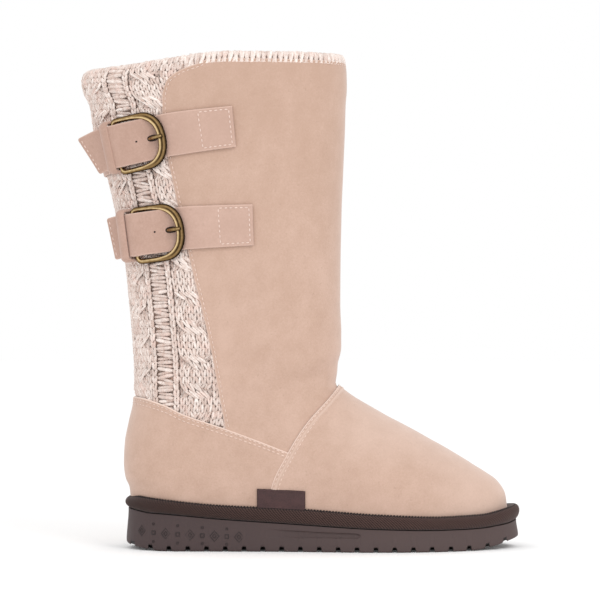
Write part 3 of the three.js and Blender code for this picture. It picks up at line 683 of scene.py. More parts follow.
def makeShaft():
    top = float(levelAt(shaft["collar"] - shaft["rim"], 60.0))
    levels = np.concatenate([np.linspace(57, top - 6, 190), top - 6 + 6 * np.linspace(0, 1, 16)[1:] ** 0.7])
    knitLevel = levelAt(knitLine[:, 1], knitLine[:, 0])
    order = np.argsort(knitLevel)

    def backEdge(level):
        fromKnit = np.interp(level, knitLevel[order], knitLine[order, 0])
        return fromKnit if level > 78 else xOfLine(counterLine, level) - 8

    angleGrid, levelGrid, flat = panelGrid(levels, backEdge)
    bare = lastPoint(levelGrid, angleGrid)
    x, z = bare[..., 0], bare[..., 2]
    near, dips = shaftOffset(x, z)
    thick, radius = panelEdge["shaft"]
    grid = surfacePoint(levelGrid, angleGrid, rolled(near, thick, radius) - thick + dips)
    keep = (x < xOfLine(vampLine, z) + 8) | (z > 112)
    # painted highlight along the knit's edge and the top edge
    paintedLightAndWear = 0.55 * (1 - ease(near, 0.2, 1.1))
    sheetPiece("shaft_suede", grid, "upper", suede, flat, keep, paintedLightAndWear=paintedLightAndWear)


def vampX(level, past=0.0):
    x = min(xOfLine(vampLine, level), float(sectionCurves[1](level)) - 0.05)
    for _ in range(3):
        x = min(xOfLine(vampLine, heightAt(level, x)) + past, float(sectionCurves[1](level)) - 0.05)
    return x


def makeVamp():
    levels = np.concatenate([np.linspace(seamLevel - 4, 96, 70), np.linspace(96, 110.3, 26)[1:]])
    angleGrid, levelGrid, flat = panelGrid(levels, vampX)
    bare = lastPoint(levelGrid, angleGrid)
    x, z = bare[..., 0], bare[..., 2]
    near = fromLine(x, z, vampLine)
    # the turned seam stands up between its two rows of stitches
    ridge = 0.45 * np.exp(-((near - 3.1) / 1.0) ** 2)
    offset = rolled(near, *panelEdge["vamp"]) + ridge - 0.7 * ease(near, 5, 16)
    offset = offset + troughs(near, stitchRows["vamp"])
    grid = surfacePoint(levelGrid, angleGrid, offset + creaseAt(x, z))
    # painted highlight along the seam's edge and crest, and painted light over the instep and toe
    paintedLightAndWear = 0.8 * (1 - ease(near, 0.3, 1.1)) + 0.25 * np.exp(-((near - 3.1) / 0.8) ** 2)
    paintedLightAndWear = paintedLightAndWear + 0.2 * ease(x, 85, 135) * ease(z, 45, 85) + 0.16 * ease(x, 150, 205)
    sheetPiece("vamp", grid, "upper", suede, flat, paintedLightAndWear=paintedLightAndWear)


# Levels of the counter's seam at angles round the heel
def counterTop(angles):
    top = np.full(angles.shape, 80.0)
    for _ in range(12):
        x = lastPoint(top, angles)[:, 0]
        top = levelAt(zOfLine(counterLine, x), x)
    return top


def heelAngles(count):
    turns = np.linspace(float(angleAt(60, 96, True)), float(angleAt(60, 96)), 700)
    run = runAlong(lastPoint(60, turns))
    at = np.linspace(0, run[-1], count)
    return np.interp(at, run, turns), at


def makeCounter():
    # columns round the heel, rows from the sole up to the seam, which falls towards the front
    angles, at = heelAngles(300)
    top = counterTop(angles)
    low = seamLevel - 4
    ends = np.array([0.9, 0.91, 0.92, 0.93, 0.94, 0.95, 0.958, 0.966, 0.974, 0.98, 0.986, 0.991, 0.996, 1])
    share = np.concatenate([np.linspace(0, 0.88, 58), ends])
    levelGrid = low + share[:, None] * (top[None] - low)
    angleGrid = np.repeat(angles[None], len(share), 0)
    bare = lastPoint(levelGrid, angleGrid)
    x, z = bare[..., 0], bare[..., 2]
    near = fromLine(x, z, counterLine)
    near = np.minimum(near, (top[None] - levelGrid) * 0.96)
    thick, radius = panelEdge["counter"]
    offset = rolled(near, thick, radius) - thick / 2 + troughs(near, stitchRows["counter"])
    grid = surfacePoint(levelGrid, angleGrid, offset + creaseAt(x, z))
    flat = np.stack([np.repeat(at[None], len(share), 0), levelGrid], -1)
    keep = x < xOfLine(vampLine, z) + 6
    # painted highlight along the seam's edge
    paintedLightAndWear = 0.9 * (1 - ease(near, 0.3, 1.0))
    sheetPiece("counter", grid, "upper", suede, flat, keep, paintedLightAndWear=paintedLightAndWear)


# Rows of stitches: each row is points along it and the way out of the surface there
def stitchPiece(name, rows, node, material, pitch=3.3, size=(2.2, 0.62, 0.55), sunk=0.1, lean=0.0):
    places, axes = [], []
    for points, outs in rows:
        run = runAlong(points)
        count = max(1, int(run[-1] / pitch))
        at = (np.arange(count) + 0.5) * run[-1] / count
        out = unit(readAt(at, run, outs))
        along = unit(readAt(at + 0.4, run, points) - readAt(at - 0.4, run, points))
        side = unit(np.cross(out, along))
        along = unit(along + side * lean)
        side = unit(np.cross(out, along))
        places.append(readAt(at, run, points) + out * sunk)
        axes.append(np.stack([along * size[0], side * size[1], out * size[2]], 1))
    shape = grainShape(1, 1, 1, 0, 6, 5)
    copiesPiece(name, shape, np.concatenate(places), np.concatenate(axes), node, material)
    shape.free()


def rowOn(levels, angles, offset):
    offset = np.broadcast_to(np.asarray(offset, float), np.shape(angles))
    return surfacePoint(levels, angles, offset), outwards(levels, angles)


def besideLine(line, distance):
    along = unit(np.gradient(line, axis=0))
    return line + np.stack([-along[:, 1], along[:, 0]], -1) * distance


def stitchSuede():
    rows = []
    topLevel = shaft["rim"] + stitchRows["top"]
    edge = besideLine(knitLine, stitchRows["knit"])
    belowRim = edge[:, 1] < rimLine(edge[:, 0]) - topLevel
    edge = edge[belowRim & (edge[:, 1] > zOfLine(counterLine, edge[:, 0]) + 1)]
    levels = levelAt(edge[:, 1], edge[:, 0])
    bend = creaseAt(edge[:, 0], edge[:, 1]) - 0.15
    for inner in (False, True):
        rows.append(rowOn(levels, angleAt(levels, edge[:, 0], inner), bend))
    corner = float(edge[0, 0]) + 2
    turns = np.linspace(float(angleAt(320, corner)), 2 * math.pi + float(angleAt(320, corner, True)), 300)
    levels = np.full(turns.shape, 325.0)
    for _ in range(4):
        x = lastPoint(levels, turns)[:, 0]
        levels = levelAt(rimLine(x) - topLevel, x)
    rows.append(rowOn(levels, turns, -0.15))

    angles = heelAngles(400)[0]
    for down in stitchRows["counter"]:
        levels = counterTop(angles) - down * 1.04
        bare = lastPoint(levels, angles)
        kept = bare[:, 0] < xOfLine(vampLine, bare[:, 2]) - 0.5
        offset = 0.65 + creaseAt(bare[:, 0], bare[:, 2])
        points, outs = rowOn(levels, angles, offset)
        rows.append((points[kept], outs[kept]))

    for past in stitchRows["vamp"]:
        levels = np.linspace(seamLevel - 1, 110, 260)
        x = np.array([vampX(level, past * 1.15) for level in levels])
        behind = x < sectionCurves[1](levels) - 0.4
        levels, x = levels[behind], x[behind]
        z = heightAt(levels, x)
        offset = 1.45 + creaseAt(x, z)
        outer, outerOut = rowOn(levels, angleAt(levels, x), offset)
        inner, innerOut = rowOn(levels, angleAt(levels, x, True), offset)
        rows.append((np.concatenate([outer, inner[::-1]]), np.concatenate([outerOut, innerOut[::-1]])))
    stitchPiece("suede_stitches", rows, "upper", thread)


makeShaft()
makeVamp()
makeCounter()
stitchSuede()
print("suede made")


# Knit: yarn legs laid in wales up the back of the shaft, over a plain ground

# round from the middle of the back: plain columns, ladders, and cables by start, side and how late
wales = dict(row=4.7, wide=3.66, low=65.2, high=329, cross=0.48, gauge=2.2, fine=1.9, fold=3.4,
             plain=(8.4, 34.5, 50.8, 77.2, 80.9, 84.6, 88.3), ladder=42.6, ladderHalf=6.1, zigzag=0.6,
             cables=((10.5, -1, 9.0), (53.2, 1, 0.0)))
# heights where the outer cables' crossings begin, read up the back
crossings = np.array([39.8, 60.5, 81.2, 101.9, 122.7, 143.8, 165, 187.4, 207.3, 226.9, 246.8, 271.4, 295.6,
                      316.2, 338])
flatSteps = np.arange(-112.0, 113.0, 1.0)
flatLevels = np.arange(60.0, 336.0, 2.0)


# Angles of the last at lengths measured round it from the middle of the back, outer side positive
def makeFlatTable():
    rows = []
    for level in flatLevels:
        turns = np.linspace(math.pi - 2.4, math.pi + 2.4, 900)
        run = runAlong(lastPoint(level, turns))
        rows.append(np.interp(flatSteps, run - np.interp(math.pi, turns, run), turns))
    return np.array(rows)


flatTable = makeFlatTable()


def backAngle(across, level):
    i = np.clip((level - flatLevels[0]) / 2, 0, len(flatLevels) - 1.001)
    j = np.clip(across - flatSteps[0], 0, len(flatSteps) - 1.001)
    low, left = i.astype(int), j.astype(int)
    up, right = i - low, j - left
    bottom = flatTable[low, left] * (1 - right) + flatTable[low, left + 1] * right
    top = flatTable[low + 1, left] * (1 - right) + flatTable[low + 1, left + 1] * right
    return bottom * (1 - up) + top * up


def knitPoint(across, level, offset):
    across, level, offset = (np.asarray(v, float) for v in (across, level, offset))
    return surfacePoint(level, backAngle(across, level), offset)


def insideKnit(points):
    x, z = points[:, 0], points[:, 2]
    return (x < xOfLine(knitLine, z) + 1.3) & (z > zOfLine(counterLine, x) - 1.3)


# How far yarn is pushed in: under the edges of the suede, and over the fold at the rim
def tuckedBy(points, offset):
    x, z = points[:, 0], points[:, 2]
    past = np.maximum(np.maximum(x - xOfLine(knitLine, z), zOfLine(counterLine, x) - z), 0)
    near = np.minimum(fromLine(x, z, knitLine), fromLine(x, z, counterLine))
    near = np.where(past > 0, 0, near)
    under = (offset + 2.1) * (1 - ease(near, 0, 3.8)) + 0.9 * ease(past, 0, 1.5)
    fold = wales["fold"]
    turn = np.clip(1 - (rimLine(x) - z) / fold, 0, 1)
    return under + fold * (1 - np.sqrt(1 - turn ** 2))


# One wale of a cable: the place of its slot at a height, and how far it stands out
def cableSlot(slot, height, side, late):
    turns = np.interp(height + late, crossings, np.arange(len(crossings)))
    done = np.floor(turns)
    share = ease(turns - done, 0, wales["cross"])
    now = (slot + 3 * done) % 6
    leads = now >= 3 if side > 0 else now < 3
    step = -3 if side > 0 else 3
    # the leading three cross in front, the others go back behind them
    place = np.where(leads, now + step * share, now - step * share)
    bump = np.sin(np.pi * share)
    # each bundle of three spreads out while it crosses, so the edges stay filled
    place = place + (now % 3 - 1) * 0.35 * bump
    return place, np.where(leads, 1.9, -1.3) * bump + 0.5 * (1 - bump)


def makeKnit():
    dice = np.random.default_rng(11)
    legs = []  # across, height and offset of both ends, thickness, 1 for filling behind

    def leg(foot, head, size, behind=0):
        legs.append((*foot, *head, size, behind))

    def vee(centre, height, out, nextCentre, nextOut, size, behind=0):
        for side in (-1, 1):
            foot = centre + side * 0.4
            head = nextCentre + side * 1.4
            leg((foot, height - 0.5, out), (head, height + wales["row"] + 0.3, nextOut), size, behind)

    def rung(centre, height, tilt):
        # bars that lean to and fro, so small holes open at alternate ends, and a deeper one between them
        half = wales["ladderHalf"]
        tilt = tilt * wales["zigzag"] + dice.normal(0, 0.25)
        kink = dice.normal(0, 0.3)
        for start, stop in ((-half, 1.8), (-1.8, half)):
            low, high = height + tilt * start / half, height + tilt * stop / half
            leg((centre + start, low + kink * (start < -2), -1.1), (centre + stop, high, -1.0), 2.6)
            high = high + 2.3 - kink * (stop > 2)
            leg((centre + start, low + 2.3, -1.7), (centre + stop, high, -1.6), 2.4)

    for mirror in (-1, 1):
        for row, height in enumerate(np.arange(wales["low"], wales["high"], wales["row"])):
            for centre in wales["plain"]:
                vee(mirror * centre, height, -0.6, mirror * centre, -0.6, wales["gauge"])
            for start, side, late in wales["cables"]:
                for slot in range(6):
                    here, out = cableSlot(slot, height, side, late)
                    there, nextOut = cableSlot(slot, height + wales["row"] * 0.99, side, late)
                    place = mirror * (start + (here + 0.5) * wales["wide"])
                    goal = mirror * (start + (there + 0.5) * wales["wide"])
                    vee(place, height, out - 0.9, goal, nextOut - 0.9, wales["fine"])
                    still = mirror * (start + (slot + 0.5) * wales["wide"])
                    vee(still, height + 1.5, -1.7, still, -1.7, wales["gauge"], 1)
            rung(mirror * wales["ladder"], height, 1 if row % 2 else -1)
            if mirror > 0:
                rung(0, height, -1 if row % 2 else 1)
    legs = np.array(legs)
    low, high, wide, behind = legs[:, 0:3], legs[:, 3:6], legs[:, 6], legs[:, 7] > 0
    low[:, :2] += dice.normal(0, 0.15, (len(low), 2))
    high[:, :2] += dice.normal(0, 0.15, (len(low), 2))
    low[:, 1], high[:, 1] = np.minimum(low[:, 1], 333), np.minimum(high[:, 1], 333.3)
    foot = knitPoint(low[:, 0], low[:, 1], low[:, 2])
    head = knitPoint(high[:, 0], high[:, 1], high[:, 2])
    kept = insideKnit((foot + head) / 2)
    centre = (low + high) / 2
    out = outwards(centre[:, 1], backAngle(centre[:, 0], centre[:, 1]))
    foot = foot - out * tuckedBy(foot, low[:, 2])[:, None]
    head = head - out * tuckedBy(head, high[:, 2])[:, None]
    middle = (foot + head) / 2
    along = head - foot
    side = unit(np.cross(out, along))
    size = wide[:, None] * dice.normal(1, 0.06, (len(wide), 1))
    axes = np.stack([along * 1.12, side * size, unit(np.cross(along, side)) * size], 1)
    # random tone by leg, plus painted shade: legs set further in are darker, those standing out lighter
    shades = np.clip(dice.normal(0.5, 0.22, len(wide)) + 0.12 * centre[:, 2], 0, 1)
    outerSide = centre[:, 0] >= 0
    full, slim = grainShape(1, 1, 1, 0.26), grainShape(1, 1, 1, 0.2, 4, 4)
    # the legs set behind get the darker copy of the yarn: painted shade
    parts = [("knit_outer", full, outerSide & ~behind, knitYarn),
             ("knit_inner", full, ~outerSide & ~behind, knitYarn), ("knit_fill", slim, behind, shadedFillYarn)]
    for name, shape, part, yarn in parts:
        chosen = kept & part
        copiesPiece(name, shape, middle[chosen], axes[chosen], "knit_panel", yarn, shades[chosen])
    full.free()
    slim.free()


def makeKnitGround():
    levels = np.linspace(70, shaft["collar"] - 2, 100)
    across = np.linspace(-92, 92, 140)
    levelGrid, acrossGrid = np.meshgrid(levels, across, indexing="ij")
    grid = knitPoint(acrossGrid, levelGrid, np.full(levelGrid.shape, -2.7))
    keep = grid[..., 0] < xOfLine(knitLine, grid[..., 2]) + 6
    sheetPiece("knit_ground", grid, "knit_panel", knitBack, keep=keep)


# Rim: loops of yarn over the edge of the collar, all the way round
rimYarn = dict(loops=236, radius=1.4, leans=(0.34, -0.1), behind=1.5, lower=0.35)


def makeRim():
    dice = np.random.default_rng(5)
    path = np.array([(0, -11, -2.2), (0, -7.5, -1.1), (0, -4.4, -0.7), (0, -1.9, -1.1), (0, -0.5, -2.1),
                     (0, -0.2, -3.4), (0, -0.9, -4.7), (0, -3, -5.5), (0, -8, -5.7)])
    shape = sheetShape(capped(sweep(path, circle(rimYarn["radius"], 6), (1, 0, 0))), joined=True)
    turns = ringAngles(331, 0, 2 * math.pi, rimYarn["loops"], False)[0][:-1]
    base = lastPoint(np.full(len(turns), 331.0), turns)
    out = outwards(331, turns)
    out[:, 2] = 0
    out = unit(out)
    up = np.zeros(out.shape)
    up[:, 2] = 1
    # pairs lean together, and more so along the front where the loops are short
    front = ease(base[:, 0], -8, 24)
    lean = np.where(np.arange(len(turns)) % 2, *rimYarn["leans"]) * (0.35 + 0.65 * front)
    lean = lean + dice.normal(0, 0.05, len(turns))
    side = np.cross(up, out)
    # behind, where the knit itself folds over, they stand further in
    places = base - out * (rimYarn["behind"] * (1 - front))[:, None]
    places[:, 2] = rimLine(base[:, 0]) + dice.normal(-0.45, 0.22, len(turns)) - rimYarn["lower"] * (1 - front)
    axes = np.stack([side, up + side * lean[:, None], out], 1)
    shades = np.clip(dice.normal(0.62, 0.2, len(turns)), 0, 1)
    copiesPiece("knit_rim", shape, places, axes, "knit_panel", knitYarn, shades)
    shape.free()
    # plain fabric under the loops, so none shows a gap
    turns = np.linspace(0, 2 * math.pi, 241)
    rows = []
    fold = ((-12, -2.4), (-6, -1.9), (-3, -1.9), (-1.6, -2.6), (-1.2, -3.4), (-1.8, -4.4), (-5, -5),
            (-12, -5))
    for rise, inside in fold:
        level = np.full(turns.shape, shaft["collar"] + rise)
        rows.append(surfacePoint(level, turns, np.full(turns.shape, float(inside))))
    # in the darker copy of the yarn: painted shade
    sheetPiece("rim_ground", np.array(rows), "knit_panel", shadedFillYarn, joined=True)


makeKnitGround()
makeKnit()
makeRim()
print("knit made")

# Sole

band = dict(round=3.8, gap=0.35, rib=2.0, lean=1.2, deep=0.2)
tread = dict(inset=2.0, flare=1.3, bevel=1.0, count=21, pitch=12.55, first=-29.4, slot=1.2)


# Half width of the sole, drawn in all round by inset
def soleHalf(x, inner, inset):
    half = np.where(inner, innerPlan(x), outerPlan(x)) - inset
    half = half * roundEnd(x - sole["back"] - inset, sole["heelRound"] * sole["length"])
    return half * roundEnd(sole["back"] + sole["length"] - inset - x, sole["toeRound"] * sole["length"])


def planRing(inset, turns):
    middle = sole["back"] + sole["length"] / 2
    x = middle + (sole["length"] / 2 - inset) * np.cos(turns)
    inner = np.sin(turns) >= 0
    half = soleHalf(x, inner, inset)
    return np.stack([x, swingAt(x) + np.where(inner, half, -half)], -1)


def evenTurns(count):
    turns = np.linspace(0, 2 * math.pi, 4001)
    run = runAlong(planRing(0, turns))
    return np.interp(np.linspace(0, run[-1], count + 1), run, turns), run[-1]


def makeBand():
    turns, long = evenTurns(2300)
    run = np.linspace(0, long, len(turns))
    rows, heights = [], []
    for step in np.linspace(0, 1, 25):
        bulge = math.sqrt(1 - (2 * step - 1) ** 2)
        height = step * 8.6
        # slanting ribs of the twill, fading out towards both edges
        twill = np.sin(2 * math.pi * (run + band["lean"] * height) / band["rib"]) * band["deep"]
        ring = planRing(band["round"] * (1 - bulge) - twill * min(1, 2.5 * bulge), turns)
        low, high = bandLine(ring[:, 0]) + band["gap"], seamLine(ring[:, 0]) + 0.4
        rows.append(np.column_stack([ring, low + (high - low) * step]))
        heights.append(height)
    inside = planRing(9, turns)
    rows.append(np.column_stack([inside, seamLine(inside[:, 0]) - 1]))
    rows.insert(0, np.column_stack([inside, bandLine(inside[:, 0]) + band["gap"]]))
    heights = np.array([0] + heights + [8.6])
    flat = np.stack(np.broadcast_arrays(run[None], heights[:, None]), -1)
    sheetPiece("wrapped_band", np.array(rows), "midsole", bandCloth, flat, joined=True)
    # overcast dark stitches along the top edge
    turns = evenTurns(900)[0]
    ring = planRing(band["round"] - 1.1, turns)
    reach = sole["length"] / 2
    ends = ease(np.abs(ring[:, 0] - sole["back"] - reach), reach - 12, reach - 3)
    points = np.column_stack([ring, seamLine(ring[:, 0]) + 0.35 - 0.9 * ends])
    outs = np.column_stack([planRing(0, turns) - planRing(4, turns), np.full(len(turns), 2.0)])
    stitchPiece("band_stitches", [(points, unit(outs))], "midsole", darkThread,
                2.05, (2.2, 1.5, 1.5), 0.0, 0.9)


makeBand()

# Outsole: its wall and underside, stepped up over each groove, with a long slot on both sides

def solePoints(turns, inset, height, share=1.0):
    ring = planRing(inset, turns)
    middle = swingAt(ring[:, 0])
    return np.column_stack([ring[:, 0], middle + (ring[:, 1] - middle) * share, height(ring[:, 0])])


grooveShape = [(-1.72, 0), (-1.5, 1.6), (-1.25, 2.7), (-0.7, 3.2), (0.7, 3.2), (1.25, 2.7), (1.5, 1.6),
               (1.72, 0)]
grooveMiddles = tread["first"] + tread["pitch"] * np.arange(tread["count"])
slotTable = [(0.343, 0.277, 0.438), (0.4, 0.277, 0.413), (0.5, 0.276, 0.378), (0.583, 0.274, 0.357),
             (0.591, 0.295, 0.337), (0.593, 0.312, 0.32)]


# How far the wall stands in, from its foot up to the band
def wallInset(up):
    return tread["inset"] - tread["flare"] * (1 - ease(up, 0.05, 0.95))


def grooveRise(x):
    nearest = x - grooveMiddles[np.argmin(np.abs(x[:, None] - grooveMiddles[None]), axis=1)]
    offsets, rises = zip(*grooveShape)
    # shallower where the sole turns up
    return np.interp(nearest, offsets, rises, left=0, right=0) * (1 - 0.6 * ease(groundLine(x), 0.3, 3))


# Wall pushed in at the slot, which deepens towards the toe
def slotDepth(x, z):
    along = (x - sole["back"]) / sole["length"]
    at, low, high = columnsOf(slotTable)
    bottom = np.interp(along, at, low) * sole["heel"]
    top = np.interp(along, at, high) * sole["heel"]
    inside = np.minimum(z - bottom, top - z)
    deep = tread["slot"] * ease(along, 0.343, 0.45) * (1 - ease(along, 0.588, 0.594))
    return deep * ease(inside, -0.25, 0.25)


def makeOutsole():
    turns = evenTurns(760)[0]
    middle, reach = sole["back"] + sole["length"] / 2, sole["length"] / 2 - 1.7
    edges = (grooveMiddles[:, None] + np.array(grooveShape)[None, :, 0]).ravel()
    half = np.concatenate([turns[turns <= math.pi], np.arccos(np.clip((edges - middle) / reach, -1, 1))])
    half = np.unique(np.round(np.sort(half), 5))
    turns = np.concatenate([half, 2 * math.pi - half[::-1]])

    def between(up, share):
        def at(x):
            # the grooves run in from both sides and stop short of the middle
            low = groundLine(x) + grooveRise(x) * (share > 0.6)
            return low + (bandLine(x) - 0.1 - low) * up
        return at

    flare = tread["inset"] - tread["flare"]
    rings = [(0, flare + 2, share) for share in (0.0, 0.4, 0.6, 0.62, 0.8, 0.93)]
    rings += [(0, flare + tread["bevel"], 1), (0.02, flare + 0.45, 1), (0.05, flare + 0.1, 1)]
    rings += [(up, wallInset(up), 1) for up in np.linspace(0.09, 1, 44)]
    rings += [(1, tread["inset"] + 1, share) for share in (0.97, 0.5, 0.0)]
    rows, paintedShades = [], []
    for up, inset, share in rings:
        row = solePoints(turns, inset, between(up, share), share)
        if share == 1:
            deep = slotDepth(row[:, 0], row[:, 2])
            away = row[:, 1] - swingAt(row[:, 0])
            row[:, 1] -= np.sign(away) * deep
        rows.append(row)
        # painted shade: full in the grooves near the ground, a quarter over the underside
        grooveShade = grooveRise(row[:, 0]) > 1 if share > 0.6 else np.zeros(len(row), bool)
        grooveShade = grooveShade & (row[:, 2] < groundLine(row[:, 0]) + 3.3)
        paintedShades.append(np.where(grooveShade, 1.0, 0.25 * (share < 1) * (up < 1)))
    sheetPiece("tread_sole", np.array(rows), "outsole", rubber, joined=True, paintedLightAndWear=np.array(paintedShades))


def wallPoint(x, z, sign):
    share = (z - groundLine(x)) / (bandLine(x) - groundLine(x))
    half = soleHalf(x, sign > 0, wallInset(share))
    return np.array([float(x), float(sign * half), float(z)])


# Small diamonds and squares in outline round the heel, in turn
heelMarks = dict(first=-23, last=50, step=8.2, diamonds=((3.1, 3.5), (1.3, 1.5)),
                 squares=((0.48, 1.7), (0.72, 0.9), (0.24, 0.9)))


def makeHeelMarks():
    marks = []  # x, way up the wall, half width, half height, turn
    for k, x in enumerate(np.arange(heelMarks["first"], heelMarks["last"], heelMarks["step"])):
        if k % 2 == 0:
            marks += [(x, 0.48, wide, high, 0) for wide, high in heelMarks["diamonds"]]
        else:
            marks += [(x, up, size, size, math.pi / 4) for up, size in heelMarks["squares"]]
    corners = np.array([(1, 0), (0, 1), (-1, 0), (0, -1), (1, 0)], float)
    side = [a + (b - a) * t for a, b in zip(corners[:-1], corners[1:]) for t in (0, 0.25, 0.5, 0.75)]
    path = np.column_stack([np.array(side), np.zeros(len(side))])
    for name, thin, small in (("heel_marks_large", 0.09, False), ("heel_marks_small", 0.2, True)):
        shape = sheetShape(sweep(path, circle(thin, 6), (0, 0, 1), closed=True), joined=True)
        places, axes = [], []
        for sign in (-1, 1):
            for x, up, wide, high, turn in marks:
                if (wide < 2) != small:
                    continue
                z = float(groundLine(x) + (bandLine(x) - groundLine(x)) * up)
                along = unit(wallPoint(x + 0.5, z, sign) - wallPoint(x - 0.5, z, sign))
                rise = unit(wallPoint(x, z + 0.5, sign) - wallPoint(x, z - 0.5, sign))
                out = unit(np.cross(along, rise)) * -sign
                places.append(wallPoint(x, z, sign) + out * 0.04)
                first = along * math.cos(turn) + rise * math.sin(turn)
                second = rise * math.cos(turn) - along * math.sin(turn)
                axes.append(np.stack([first * wide, second * high, out * 2]))
        copiesPiece(name, shape, np.array(places), np.array(axes), "outsole", markRubber)
        shape.free()


makeOutsole()
makeHeelMarks()
print("sole made")

# Straps and buckles. end, bar, hinge and inner end from the shaft axis, shares of the shaft depth.

straps = {
    "upper": dict(end=-0.003, bar=-0.25, hinge=-0.422, inner=0, height=0.8495, slope=0.1, bend=0.16,
                  droop=0.12, slant=4.1, rise=0.6, tail=1, keeper=-0.13),
    "lower": dict(end=0.067, bar=-0.18, hinge=-0.353, inner=0.067, height=0.6535, slope=0.035, bend=0.13,
                  droop=0.07, slant=0.5, rise=1.0, tail=0.84, keeper=-0.23),
}
strapSize = dict(wide=28.6, thick=1.8, chapeWide=27.4, chapeThick=1.6, keeperThick=1.2, keeperWide=7.4,
                 slack=4, puff=1.2, lift=0.6, barLift=1, gap=0.3, tail=23, leave=15.5)
buckleSize = dict(wire=3.6, long=34.5, clear=1.3, corner=14.7, hingeCorner=3.5, prong=2.6, broad=1.15,
                  square=0.88)
strapWay = [(1, -1), (0.86, -1), (0.74, -0.5), (0.6, 0.1), (0.4, 0.52), (0.2, 0.86), (0, 1), (-0.2, 0.68),
            (-0.38, 0.07), (-0.6, -0.53), (-1, -1.33)]
prongWay = [(0.117, -0.07), (0.3, -0.45), (0.5, -0.6), (0.65, -0.5), (0.73, -0.05), (0.8, 0.34),
            (0.88, 0.62), (1.01, 0.69)]
foldWay = [(-3.8, -2.07), (-2.76, -1.69), (-1.38, -1.28), (0, -1), (0.71, -0.71), (1, 0), (0.71, 0.71),
           (0, 1), (-0.83, 0.69), (-1.72, 0.03), (-2.76, -0.83), (-4.14, -1.59)]
keeperPlace = dict(out=-0.12, tilt=0.38)
# stitched boxes (left, right, low, high), from the end along and from the middle line, and the tail's row
sewn = dict(pitch=3.2, size=(2.1, 0.8, 0.6), sunk=0.15)
patch = dict(box=(2.4, 22.5, -12.2, 12.2), inner=(2.2, 21.5, -11.6, 11.6), tail=2.2, corner=1.6)
halfWire = buckleSize["wire"] / 2 + strapSize["gap"]
overHinge = halfWire + strapSize["chapeThick"] + strapSize["gap"] + strapSize["thick"] / 2
underBar = halfWire + strapSize["thick"] / 2
foldRadius = halfWire + strapSize["chapeThick"] / 2


def throughBuckle(along, out):
    far = buckleSize["long"] if along > 0 else strapSize["tail"]
    return along * far, out * (overHinge if out > 0 else underBar)


# The buckle's own axes: origin in the hinge bar, u along the strap to the outer bar, v up, n outwards
class Buckle:
    def __init__(self, row):
        deep, axis = shaft["depth"], shaft["axis"]
        self.end, self.bar, self.hinge = (axis + row[key] * deep for key in ("end", "bar", "hinge"))
        self.inner = axis + row["inner"] * deep
        self.row = row
        hingeOut = strapSize["lift"] + strapSize["keeperThick"] + strapSize["gap"] + strapSize["chapeThick"]
        hingeOut += strapSize["gap"] + buckleSize["wire"] / 2
        barOut = strapSize["lift"] + strapSize["thick"] + halfWire + strapSize["barLift"]
        self.origin = self.onShaft(self.hinge, hingeOut, 0)
        self.u = unit(self.onShaft(self.bar, barOut, 0) - self.origin)
        middle = (self.hinge + self.bar) / 2
        up = self.onShaft(middle, 0, 14.3) - self.onShaft(middle, 0, -14.3)
        self.n = unit(np.cross(self.u, up))
        self.v = unit(np.cross(self.n, self.u))

    def heightOf(self, x):
        run = self.end - x
        return (self.row["height"] * shaft["collar"] - self.row["slope"] * run
                - self.row["bend"] / shaft["depth"] * run * run)

    def onShaft(self, x, offset, across):
        lean = (self.row["slope"] + 2 * self.row["bend"] / shaft["depth"] * (self.end - x)) * across
        level = self.heightOf(x) + across
        return surfacePoint(level, angleAt(level, x - lean), offset)

    def local(self, along, out, across):
        return self.origin + self.u * along + self.n * out + self.v * across


def fineRun(points, count):
    points = np.asarray(points, float)
    run = runAlong(points)
    # slopes taken across each point, so the strap swings through its points
    lean = np.gradient(points, run, axis=0)
    at = np.linspace(0, run[-1], count)
    i = np.clip(np.searchsorted(run, at) - 1, 0, len(run) - 2)
    wide = (run[i + 1] - run[i])[:, None]
    t = ((at - run[i]) / wide[:, 0])[:, None]
    bend = t * t * (3 - 2 * t)
    smooth = points[i] * (1 - bend) + points[i + 1] * bend
    return smooth + wide * (lean[i] * t * (1 - t) ** 2 - lean[i + 1] * t * t * (1 - t))


# The band of a strap through three lines of points: places and ways out by run and share across
class Ribbon:
    def __init__(self, lines, wide, thick, count, turned=1):
        self.lines = [fineRun(line, count) for line in lines]
        low, middle, high = self.lines
        self.run = runAlong(middle)
        self.normal = turned * unit(np.cross(np.gradient(middle, axis=0), high - low))
        self.wide, self.thick = wide, thick

    # across runs from -1 to 1
    def at(self, run, across, out=0.0):
        run, across, out = np.broadcast_arrays(*(np.asarray(v, float) for v in (run, across, out)))
        low, middle, high = (readAt(run, self.run, line) for line in self.lines)
        w = across[..., None]
        spine = middle + w * (high - low) / 2 + w * w * ((low + high) / 2 - middle)
        # carried straight on past the last point
        onward = unit(self.lines[1][-1] - self.lines[1][-3])
        past = np.maximum(run - self.run[-1], 0)[..., None]
        return spine + self.outAt(run) * out[..., None] + onward * past

    def outAt(self, run):
        return unit(readAt(run, self.run, self.normal))


def boxDistance(run, across, box):
    left, right, low, high = box
    fromX = np.abs(run - (left + right) / 2) - (right - left) / 2
    fromW = np.abs(across - (low + high) / 2) - (high - low) / 2
    outside = np.hypot(np.maximum(fromX, 0), np.maximum(fromW, 0))
    return np.abs(outside + np.minimum(np.maximum(fromX, fromW), 0))


